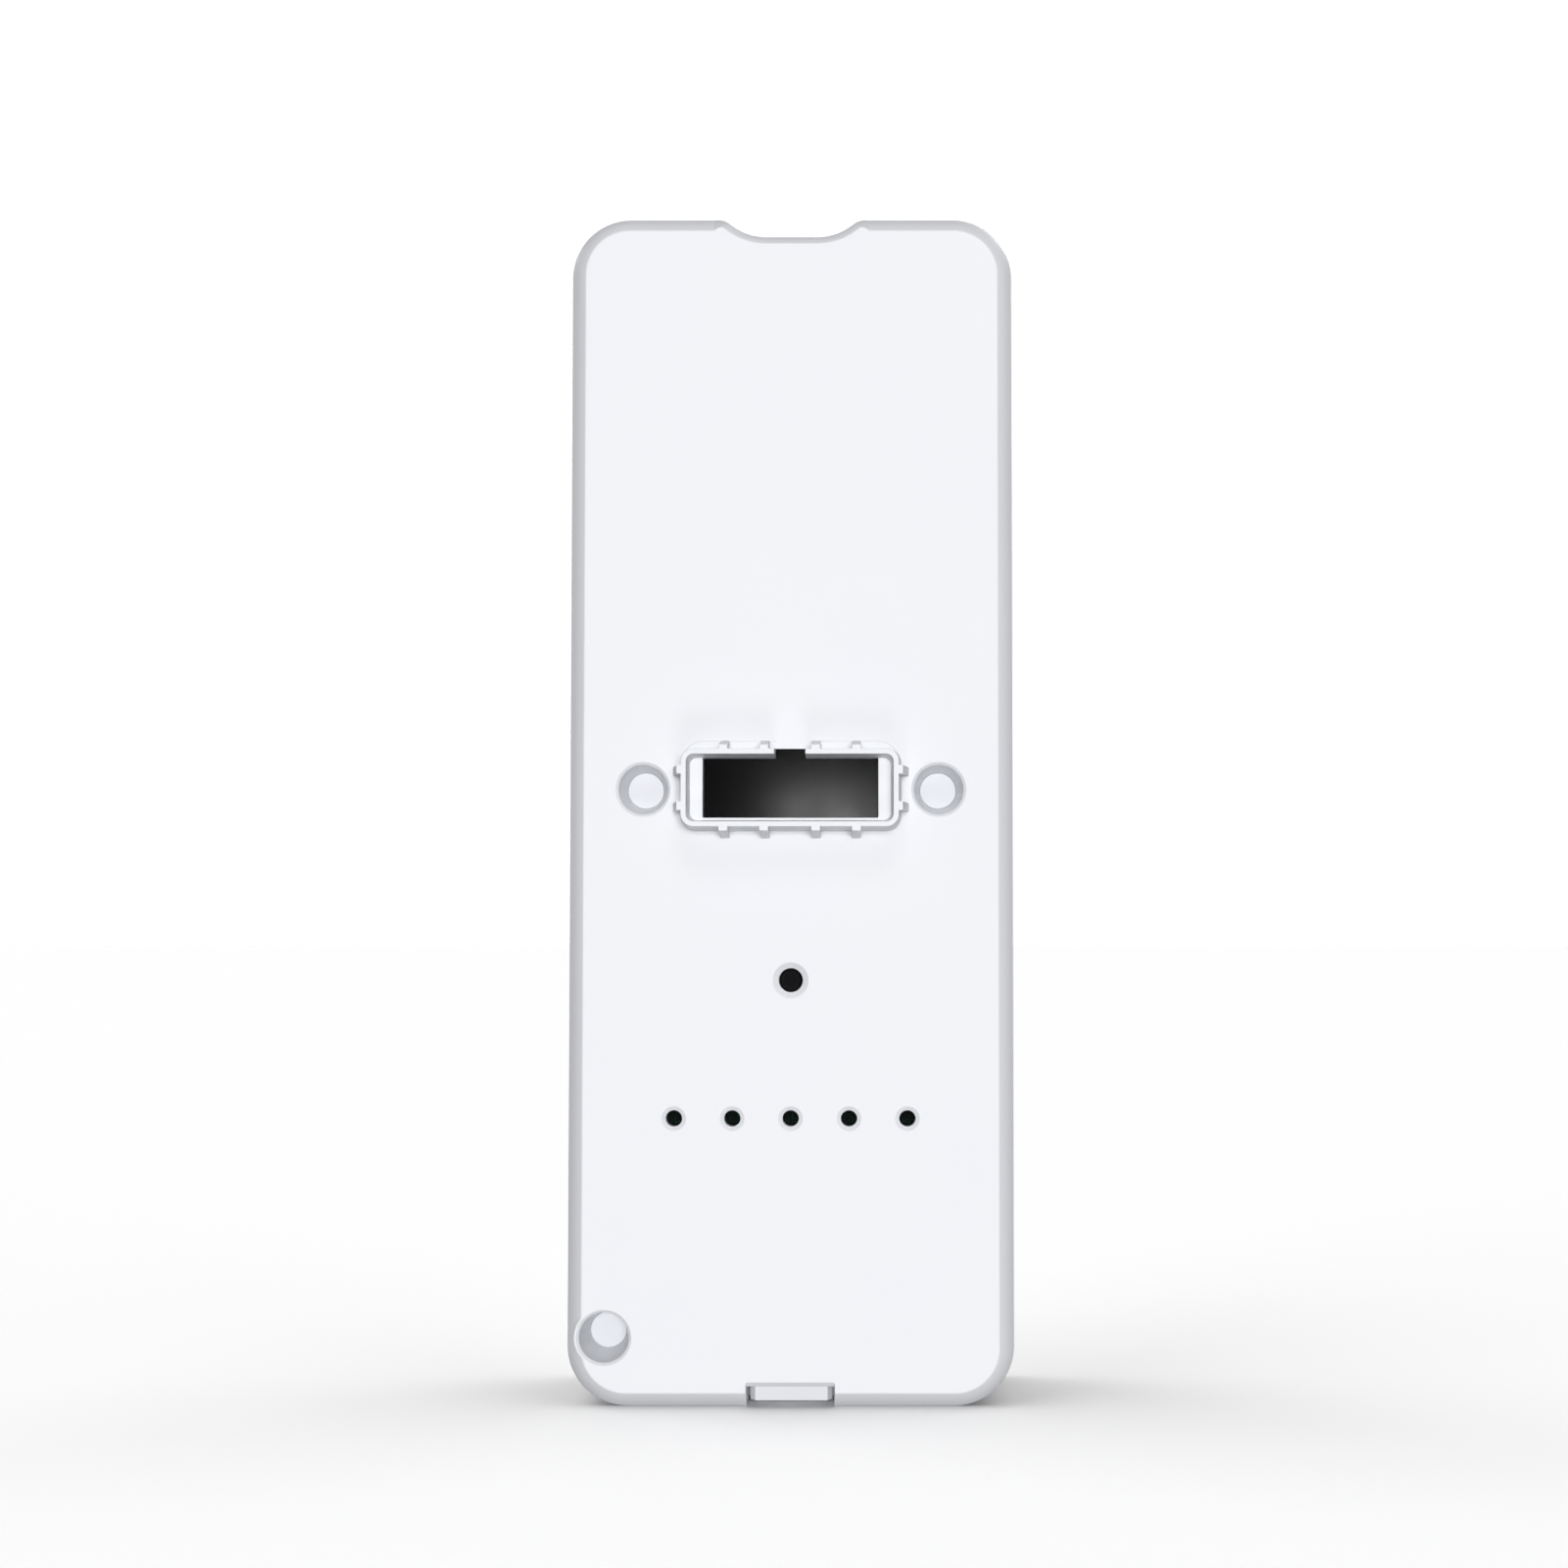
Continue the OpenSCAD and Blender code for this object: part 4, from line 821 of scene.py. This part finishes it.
def front_shell():
    """White front half: rounded edge, panel recess, inner lip, screw columns and studs for the boards."""
    edge = rounded_path([(0, SPLIT_D + 1, 0), (0, BODY_D, FRONT_EDGE), (FRONT_EDGE + 0.3, BODY_D, 0)], 9)
    shell = skin([(SEAM, SPLIT_D), (0.0, SPLIT_D + SEAM)] + edge[1:])
    inner = housing_outline(WALL, WALL)
    cut(shell, loft([at_depth(inner, SPLIT_D - 1), at_depth(inner, SHELF_D)]))
    lip_fit, lip_t = 0.15, 1.2
    lip = housing_outline(WALL + lip_fit, WALL + lip_fit)
    skirt = loft([at_depth(lip, SPLIT_D - 2), at_depth(lip, SPLIT_D + 0.5)])
    lip_w, lip_h = BODY_W - 2 * (WALL + lip_t), BODY_H - DIP_H - 2 * (WALL + lip_t)
    lip_mid, lip_r = (BODY_H - DIP_H) / 2, CORNER_R - WALL - 1
    cut(skirt, centred(lip_w, lip_h, lip_mid, lip_r, SPLIT_D - 3, SPLIT_D + 1))
    top_d = SHELF_D + SEAT_ROOT
    columns = [post(x, z, COLUMN_R, max(end, BOARD_FRONT_D), top_d, 48) for x, z, _, end in WELLS[:2]]
    columns.append(post(CORNER_X, CORNER_Z, COLUMN_R, SPLIT_D, top_d, 48))
    studs = [(s * 14.5, z, 12.2) for s in (-1, 1) for z in (95.5, 115)]
    studs += [(s * 16.5, z, 15.8) for s in (-1, 1) for z in (26, 50)]
    columns += [post(x, z, 1.9, d, top_d) for x, z, d in studs]
    add(shell, skirt, *columns)
    cuts = [post(x, z, PILOT_R, d - 1, SHELF_D - 1, 24) for x, z, d in studs]
    cuts += [post(x, z, SHANK_R, end - 1, SHELF_D - 1.5, 32) for x, z, _, end in WELLS]
    seat_w, seat_h, seat_r = PANEL_W + 2 * GAP, PANEL_H + 2 * GAP, PANEL_CORNER + GAP
    cuts.append(centred(seat_w, seat_h, PANEL_Z, seat_r, BODY_D, PANEL_SEAT_D, 0.12))
    through = (SHELF_D - 1, BODY_D)
    cuts += [post(0, LENS_Z, LENS_HOLE_R, *through, 96), post(0, BUTTON_Z, RING_R + GAP, *through, 96)]
    cuts += [post(s * LED_X, LENS_Z, 2.7, *through) for s in (-1, 1)]
    cuts += front_ports(PANEL_SEAT_D, SHELF_D - 1)
    half_w, half_h = SPEAKER_SEAT
    cuts.append(block(-half_w, half_w, SPEAKER_Z - half_h, SPEAKER_Z + half_h, PANEL_SEAT_D - 0.5, BODY_D))
    cut(shell, *cuts)
    return piece(shell, "front_shell", "housing", white_shell, ["front_housing"])


# ---- pieces seen from behind ----


def wiring_cover():
    """Black insert that fills the collar's window and the wire slot, held by a flange behind the wall."""
    fit, edge, rear_d = 0.04, 0.06, WALL + 0.3
    half_w, half_slot = WINDOW_W / 2 - fit, SLOT_W / 2 - fit
    base = block(-half_w, half_w, WINDOW_LOW + fit, WINDOW_TOP - fit, 0, rear_d, 0.12, edge)
    tongue = block(-half_slot, half_slot, WINDOW_TOP - 1, SLOT_TOP - fit, 0, rear_d, 0.08, edge)
    flange = centred(WINDOW_W + 2.4, WINDOW_T + 3.4, COLLAR_Z + 0.2, 0.8, WALL, WALL + 0.6)
    add(base, tongue, flange)
    return piece(base, "wiring_cover", "housing", grained_black, ["terminal_cover"])


def plugs():
    """Blind plugs over the three case screws, at the bottom of the wells."""
    r = PLUG_R - 0.02
    for name, (x, z, d, _) in zip(("left", "right", "corner"), WELLS):
        corners = [(0, d + 0.02, 0), (r, d, 0.1), (r, d + PLUG_T, 0), (0, d + PLUG_T, 0)]
        plug = lathe(x, z, corners, sides=72)
        # The plugs' darker white is painted shade for the bottom of the wells.
        piece(plug, "plug_" + name, "housing", white_small, ["screw_plugs"])


def tamper_button():
    """Black button behind the centre hole: a stem through a flange that holds it in."""
    face_d, end_d = REAR_Y - high("tamper_plunger").y, REAR_Y - low("tamper_plunger").y
    stem_r, flange_r, flange_d, flange_t = 1.0, high("tamper_plunger").x, 2.1, 0.8
    corners = [
        (0, face_d, 0), (stem_r, face_d, 0.25), (stem_r, flange_d, 0.05), (flange_r, flange_d, 0.1),
        (flange_r, flange_d + flange_t, 0.1), (stem_r, flange_d + flange_t, 0.05), (stem_r, end_d, 0.15),
        (0, end_d, 0),
    ]
    button = lathe(0, TAMPER_Z, corners, sides=48)
    piece(button, "tamper_button", "tamper", satin_black, ["tamper_plunger"])


def catch_tongue():
    """Release catch: a tongue with sloped sides, two wings that rest on the lower wall and a spring post."""
    half, side, side_d, edge, post_r, post_h, sides = 4.5, 0.55, 0.9, 0.08, 0.8, 1.4, 32
    low_z, top = low("release_catch").z, high("release_catch").z - post_h
    section = rounded_path(
        [
            (-half, CATCH_REAR_D, 0.1), (half, CATCH_REAR_D, 0.1), (half, CATCH_D + side_d, 0.15),
            (half - side, CATCH_D, 0.12), (side - half, CATCH_D, 0.12), (-half, CATCH_D + side_d, 0.15),
        ], 4, closed=True
    )
    mid = (CATCH_D + CATCH_REAR_D) / 2
    rings = []
    for z, inset in [(low_z, edge), (low_z + edge, 0.0), (top - edge, 0.0), (top, edge)]:
        shrink = 1 - inset / half
        rings.append([(x * shrink, REAR_Y - mid - (d - mid) * (1 - inset / 2), z) for x, d in section])
    tongue = loft(rings)
    wing = half + 1.5
    wings = block(-wing, wing, 2.1, 3.9, CATCH_D + 1.2, CATCH_REAR_D - 0.05, 0.1)
    foot = [(x, REAR_Y - mid + y) for x, y in circle(0, 0, post_r, sides)]
    spring_post = loft([[(x, y, z) for x, y in foot] for z in (top - 0.5, top + post_h)])
    add(tongue, wings, spring_post)
    # The catch shares the darker white that is painted shade for the wells.
    piece(tongue, "catch_tongue", "catch", white_small, ["release_catch"])


def woven(name, node):
    """Woven wire cloth in a CAD node's space: two sets of wires that pass over and under each other."""
    pitch, wire, sides, hem = 0.34, 0.07, 5, 0.1
    x0, x1, z0, z1 = low(node).x + hem, high(node).x - hem, low(node).z + hem, high(node).z - hem
    y = middle(node).y
    verts, faces = [], []

    def strand(points, normal):
        start = len(verts)
        for p in points:
            for u, v in circle(0, 0, wire, sides):
                verts.append((p[0] + u * normal[0], p[1] + v, p[2] + u * normal[1]))
        for i in range(len(points) - 1):
            for k in range(sides):
                a, b = start + i * sides + k, start + i * sides + (k + 1) % sides
                faces.append((a, b, b + sides, a + sides))
        for end in (start, start + (len(points) - 1) * sides):
            faces.append(tuple(end + k for k in range(sides)))

    columns, rows = int((x1 - x0) / pitch), int((z1 - z0) / pitch)
    for i in range(columns + 1):
        x = x0 + (x1 - x0) * i / columns
        points = [
            (x, y + wire * math.cos(math.pi * (j / 2 + i)), z0 + (z1 - z0) * j / (2 * rows))
            for j in range(2 * rows + 1)
        ]
        strand(points, (1, 0))
    for j in range(rows + 1):
        z = z0 + (z1 - z0) * j / rows
        points = [
            (x0 + (x1 - x0) * i / (2 * columns), y - wire * math.cos(math.pi * (i / 2 + j)), z)
            for i in range(2 * columns + 1)
        ]
        strand(points, (0, 1))
    mesh = bpy.data.meshes.new(name)
    mesh.from_pydata(verts, [], faces)
    obj = bpy.data.objects.new(name, mesh)
    bpy.context.scene.collection.objects.link(obj)
    piece(obj, name, "housing", mesh_black, [node], 60, False)


# ---- pieces seen from the front ----


def face_panel():
    """Gloss front panel with softened edges, cut for the lens, the button, the grille and the ports."""
    path = [(0.0, PANEL_REAR_D)] + edge_turn(0.28, BODY_D, -1, 5)[::-1]
    half_w, z0, z1 = PANEL_W / 2, PANEL_Z - PANEL_H / 2, PANEL_Z + PANEL_H / 2
    rings = []
    for i, d in path:
        r = PANEL_CORNER - i
        rings.append(at_depth(slab(-half_w + i, half_w - i, z0 + i, z1 - i, r, r, 14), d))
    panel = loft(rings)
    openings = ((LENS_Z, 9.6), (BUTTON_Z, RING_R + GAP))
    cuts = [bore(0, z, r, BODY_D, SHELF_D, 0.1, 128) for z, r in openings]
    cut(panel, *cuts, *front_ports(BODY_D, SHELF_D))
    piece(panel, "face_panel", "housing", gloss_black, ["front_panel"], 25)


def lens_ring():
    """Black bezel round the lens, stepped down to the seat of the window."""
    hole_r, flange_r, flange_t, ring_r, ring_h = 6.3, high("lens_bezel").x, 1.2, 9.5, 3.4
    seat_r, seat_h, throat_h = 7.3, 1.4, 2.6
    mouth_r, step, step_count, lip = 8.1, 0.16, 4, 0.06
    d = REAR_Y - high("lens_bezel").y
    steps = [(mouth_r, d + ring_h, 0.12)]
    for k in range(1, step_count + 1):
        r, step_d = mouth_r - step * k, d + ring_h - step * k
        steps += [(r, step_d + lip, 0.02), (r, step_d, 0.02)]
    bezel = lathe(0, LENS_Z, [
        (hole_r, d, 0.05), (flange_r, d, 0.1), (flange_r, d + flange_t, 0.1), (ring_r, d + flange_t, 0),
        (ring_r, d + ring_h - 0.4, 0.12), (ring_r - 0.4, d + ring_h, 0.2), *steps,
        (seat_r, d + throat_h, 0.05), (seat_r, d + seat_h, 0.05), (hole_r, d + seat_h, 0.05),
    ], 4, 128, True)
    piece(bezel, "lens_ring", "housing", satin_black, ["lens_bezel"], 30)


def lens_cover():
    """Clear window in the bezel, with a black mask printed behind its edge."""
    d, front_d = REAR_Y - high("lens_window").y, REAR_Y - low("lens_window").y
    r, mask_r, mask_hole_r = high("lens_window").x, 7.2, 5.1
    window = lathe(0, LENS_Z, [(0, d, 0), (r, d, 0.08), (r, front_d, 0.12), (0, front_d, 0)], 4, 96)
    piece(window, "lens_cover_glass", "housing", clear_glass, ["lens_window"], 30)
    mask_d, mask_t = d - 0.08, 0.05
    outline = [
        (mask_hole_r, mask_d, 0), (mask_r, mask_d, 0), (mask_r, mask_d + mask_t, 0),
        (mask_hole_r, mask_d + mask_t, 0),
    ]
    mask = lathe(0, LENS_Z, outline, 1, 96, True)
    piece(mask, "lens_mask", "housing", satin_black, [], 30)


def lens_tube():
    """Stepped barrel that carries the glass, with light baffles in its mouth."""
    rear_r, rear_t, body_r, head_r, head_h = 2.2, 0.7, 5.5, high("lens_barrel").x, 2.4
    bore_r, inner_r, inner_h, mouth_r, baffle = 4.1, 2.9, 3.0, 4.9, 0.2
    rear, front = REAR_Y - high("lens_barrel").y, REAR_Y - low("lens_barrel").y
    head, rear_face, inner = front - head_h, rear + rear_t, rear + inner_h
    barrel = lathe(0, LENS_Z, [
        (rear_r, rear, 0), (body_r, rear, 0.1), (body_r, head, 0.05), (head_r, head, 0.05),
        (head_r, front, 0.12), (mouth_r, front, 0.12), (mouth_r - baffle, front - 0.17, 0.02),
        (mouth_r - baffle, front - 0.3, 0.02), (mouth_r - 2 * baffle, front - 0.35, 0.02),
        (mouth_r - 2 * baffle, front - 0.5, 0.02), (bore_r, front - 0.7, 0.06),
        (bore_r, inner, 0), (inner_r, inner, 0), (inner_r, rear_face, 0),
        (rear_r, rear_face, 0),
    ], 3, 96, True)
    piece(barrel, "lens_tube", "housing", satin_black, ["lens_barrel"], 30)


def lens_elements():
    """Domed front element and flatter rear element."""
    dome_r, rim_r, rim_t, rim_d, dome_steps = 6.2, 4.05, 0.6, 18.2, 16
    half = math.asin(rim_r / dome_r)
    dome = [(0, rim_d + 0.3, 0), (rim_r * 0.6, rim_d + 0.18, 1.5), (rim_r, rim_d, 0.03)]
    for k in range(dome_steps + 1):
        a = half * (1 - k / dome_steps)
        dome.append((dome_r * math.sin(a), rim_d + rim_t + dome_r * (math.cos(a) - math.cos(half)), 0))
    front = lathe(0, LENS_Z, dome, 4, 96)
    piece(front, "lens_front_element", "housing", coated_glass, ["lens_glass"], 30)
    rear_d, rear_r = REAR_Y - high("lens_glass").y, 2.85
    profile = [
        (0, rear_d, 0), (rear_r, rear_d + 0.3, 2.0), (rear_r, rear_d + 1.1, 0), (2.0, rear_d + 1.3, 1.5),
        (0, rear_d + 1.4, 0),
    ]
    rear = lathe(0, LENS_Z, profile, 4, 64)
    piece(rear, "lens_rear_element", "housing", coated_glass, ["lens_glass"], 30)


def call_button():
    """Dished push button with a soft rim, a skirt and the stem that presses its switch."""
    f, r, stem_end = BUTTON_D, BUTTON_R, REAR_Y - high("button_cap").y
    skirt_h, skirt_t, disc_t, stem_r = 5.0, 0.9, 2.2, 1.8
    cap = lathe(0, BUTTON_Z, [
        (0, f - 0.5, 0), (r * 0.5, f - 0.43, 6), (r - 1.6, f - 0.2, 2), (r - 0.9, f, 0.7),
        (r - 0.3, f - 0.08, 0.35), (r, f - 0.5, 0.3), (r, f - skirt_h, 0.05),
        (r - skirt_t, f - skirt_h, 0.05), (r - skirt_t, f - disc_t, 0.1),
        (stem_r, f - disc_t, 0.2), (stem_r, stem_end, 0.1), (0, stem_end, 0),
    ], 6, 160)
    piece(cap, "call_button", "button", button_face, ["button_cap"], 40)


def light_ring():
    """Frosted light ring round the button, with a softly crowned front."""
    d0, d1 = REAR_Y - high("button_light_ring").y, REAR_Y - low("button_light_ring").y
    inner, crown, rise = BUTTON_R + RING_FIT, 0.5, 0.15
    ring = lathe(0, BUTTON_Z, [
        (inner, d0, 0.05), (RING_R, d0, 0.05), (RING_R, d1 - rise, 0.25), (RING_R - crown, d1, 0.3),
        (inner + crown, d1, 0.3), (inner, d1 - rise, 0.25),
    ], 5, 160, True)
    piece(ring, "light_ring", "housing", frosted, ["button_light_ring"], 40)


def spring(name, node, along, wire_r, active):
    """A compression spring with closed ends; along points from its fixed end to the end that moves."""
    steps, sides = 24, 12
    lo, hi = low(node), high(node)
    along, across = Vector(along), Vector((1, 0, 0))
    up = along.cross(across)
    length, radius = abs((hi - lo).dot(along)), (hi.x - lo.x) / 2 - wire_r
    foot = (lo + hi) / 2 - along * length / 2
    closed = 2.1 * wire_r
    pitch = (length - 2 * wire_r - 2 * closed) / active
    rings = []
    for k in range((active + 2) * steps + 1):
        t = k / steps
        rise = wire_r + pitch * min(max(t - 1, 0), active) + closed * (min(t, 1) + max(t - 1 - active, 0))
        out = across * math.cos(math.tau * t) + up * math.sin(math.tau * t)
        wire = circle(radius, rise, wire_r, sides)
        rings.append([foot + out * u + along * v for u, v in wire])
    coil = piece(loft(rings), name, "housing", spring_steel, [node], 50, False)
    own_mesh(coil)


def light_port():
    """Clear light pipe for the ambient light sensor, with a foot and a domed end."""
    front, back = REAR_Y - low("light_pipe").y, REAR_Y - high("light_pipe").y
    foot_r, foot_h, dome_h = 1.6, 1.2, 0.25
    pipe = lathe(LIGHT_X, LIGHT_Z, [
        (0, back, 0), (foot_r, back, 0.05), (foot_r, back + foot_h, 0.05), (LIGHT_R, back + foot_h, 0.05),
        (LIGHT_R, front - dome_h, 0.4), (LIGHT_R / 2, front - 0.04, 0.6), (0, front, 0),
    ], 4, 48)
    piece(pipe, "light_port", "housing", frosted, ["light_pipe"], 40)


rear_shell()
front_shell()
cover = wiring_cover()
plugs()
tamper_button()
catch_tongue()
face_panel()
lens_ring()
lens_cover()
lens_tube()
lens_elements()
call_button()
light_ring()
spring("button_coil", "button_spring", (0, -1, 0), 0.25, 3)
spring("tamper_coil", "tamper_spring", (0, 1, 0), 0.15, 5)
spring("catch_coil", "catch_spring", (0, 0, -1), 0.15, 4)
light_port()
woven("vent_cloth", "vent_mesh")
woven("grille_cloth", "speaker_mesh")
dress_inner_nodes()


# ---- stage, light and camera ----


def floor():
    """Pale paper floor; its own glow on the doorbell is left out, as the photographer's flags would."""
    mesh = bpy.data.meshes.new("floor")
    half = 4.0
    corners = [(-half, -half, 0), (half, -half, 0), (half, half, 0), (-half, half, 0)]
    mesh.from_pydata(corners, [], [(0, 1, 2, 3)])
    obj = bpy.data.objects.new("floor", mesh)
    bpy.context.scene.collection.objects.link(obj)
    s = Shader("floor_paper", (0.9, 0.9, 0.9), 0.8)
    s.shine(s.noise(40, 2), 0.03)
    mesh.materials.append(s.material)
    obj.visible_diffuse = obj.visible_glossy = False
    obj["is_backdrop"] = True
    return obj


def aim(obj, place, target):
    """Puts a lamp at place, turned towards target."""
    obj.location = place
    obj.rotation_euler = (Vector(target) - Vector(place)).to_track_quat("-Z", "Y").to_euler()


def lamp(name, kind, place, power, receivers, mirrored=True, diffuse=True, floor_blocks=True, **values):
    """A light that reaches only the objects in receivers."""
    light = bpy.data.lights.new(name, kind)
    light.energy = power
    for key, value in values.items():
        setattr(light, key, value)
    obj = bpy.data.objects.new(name, light)
    bpy.context.scene.collection.objects.link(obj)
    aim(obj, place, (0, 0, 0.065))
    obj.visible_glossy, obj.visible_diffuse = mirrored, diffuse
    obj.light_linking.receiver_collection = receivers
    if not floor_blocks:
        obj.light_linking.blocker_collection = receivers


def receivers(name, objects):
    """A collection that says which objects a lamp reaches."""
    group = bpy.data.collections.new(name)
    for o in objects:
        group.objects.link(o)
    return group


def world(seen, light):
    """White to the camera, and a dimmer sky to everything else."""
    w = bpy.data.worlds.new("studio")
    bpy.context.scene.world = w
    w.use_nodes = True
    nodes, links = w.node_tree.nodes, w.node_tree.links
    nodes.clear()
    path = nodes.new("ShaderNodeLightPath")
    sky, back = nodes.new("ShaderNodeBackground"), nodes.new("ShaderNodeBackground")
    sky.inputs["Strength"].default_value = light
    back.inputs["Strength"].default_value = seen
    for n in (sky, back):
        n.inputs["Color"].default_value = (1, 1, 1, 1)
    mix, out = nodes.new("ShaderNodeMixShader"), nodes.new("ShaderNodeOutputWorld")
    links.new(path.outputs["Is Camera Ray"], mix.inputs[0])
    links.new(sky.outputs[0], mix.inputs[1])
    links.new(back.outputs[0], mix.inputs[2])
    links.new(mix.outputs[0], out.inputs["Surface"])


def camera():
    data = bpy.data.cameras.new("camera")
    data.lens, data.sensor_width, data.shift_x = 63.0, 36.0, -0.0513
    data.clip_start, data.clip_end = 0.01, 100
    obj = bpy.data.objects.new("camera", data)
    bpy.context.scene.collection.objects.link(obj)
    obj.location = (-0.00843, REAR_Y * MM + 0.29846, 0.05351)
    pitch, yaw = math.radians(2.671), math.radians(-0.082)
    ahead = Vector((-math.sin(yaw) * math.cos(pitch), -math.cos(yaw) * math.cos(pitch), math.sin(pitch)))
    obj.rotation_euler = ahead.to_track_quat("-Z", "Y").to_euler()
    bpy.context.scene.camera = obj


def light_doorbell(cover):
    """A broad lamp behind the camera, weak ones above and below, two in front, and the cover's sheen."""
    lit = receivers("lit_doorbell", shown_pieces())
    lamp("key", "AREA", (-0.12, 2.6, 0.07), 124, lit, shape="DISK", size=1.0, mirrored=False)
    lamp("above", "AREA", (-0.1, 1.3, 1.4), 5.0, lit, shape="SQUARE", size=0.6, mirrored=False)
    lamp("bounce", "AREA", (-0.1, 1.3, -1.2), 5.5, lit, shape="SQUARE", size=0.6, mirrored=False,
         floor_blocks=False)
    sheen = receivers("lit_cover", [cover])
    lamp("sheen", "AREA", (0.011, 1.0, 0.098), 0.019, sheen, shape="RECTANGLE", size=0.045, size_y=0.02,
         diffuse=False)
    lamp("front_box", "AREA", (-0.45, -1.0, 0.6), 13.0, lit, shape="SQUARE", size=0.6)
    lamp("front_strip", "AREA", (0.65, -0.85, 0.25), 4.0, lit, shape="RECTANGLE", size=0.12, size_y=0.8)


def light_floor(ground):
    """Broad daylight on the floor alone, so that it fades to white round a soft contact shadow."""
    lit = receivers("lit_floor", [ground])
    lamp("floor_left", "SUN", (1.0, 0.2, 0.75), 1.95, lit, angle=math.radians(85))
    lamp("floor_right", "SUN", (-1.0, 0.2, 0.75), 1.22, lit, angle=math.radians(85))
    lamp("floor_top", "SUN", (0.0, -1.0, 1.2), 2.0, lit, angle=math.radians(105))


ground = floor()
world(seen=1.1, light=0.05)
light_doorbell(cover)
light_floor(ground)
camera()
bpy.context.scene.view_settings.view_transform = "Standard"
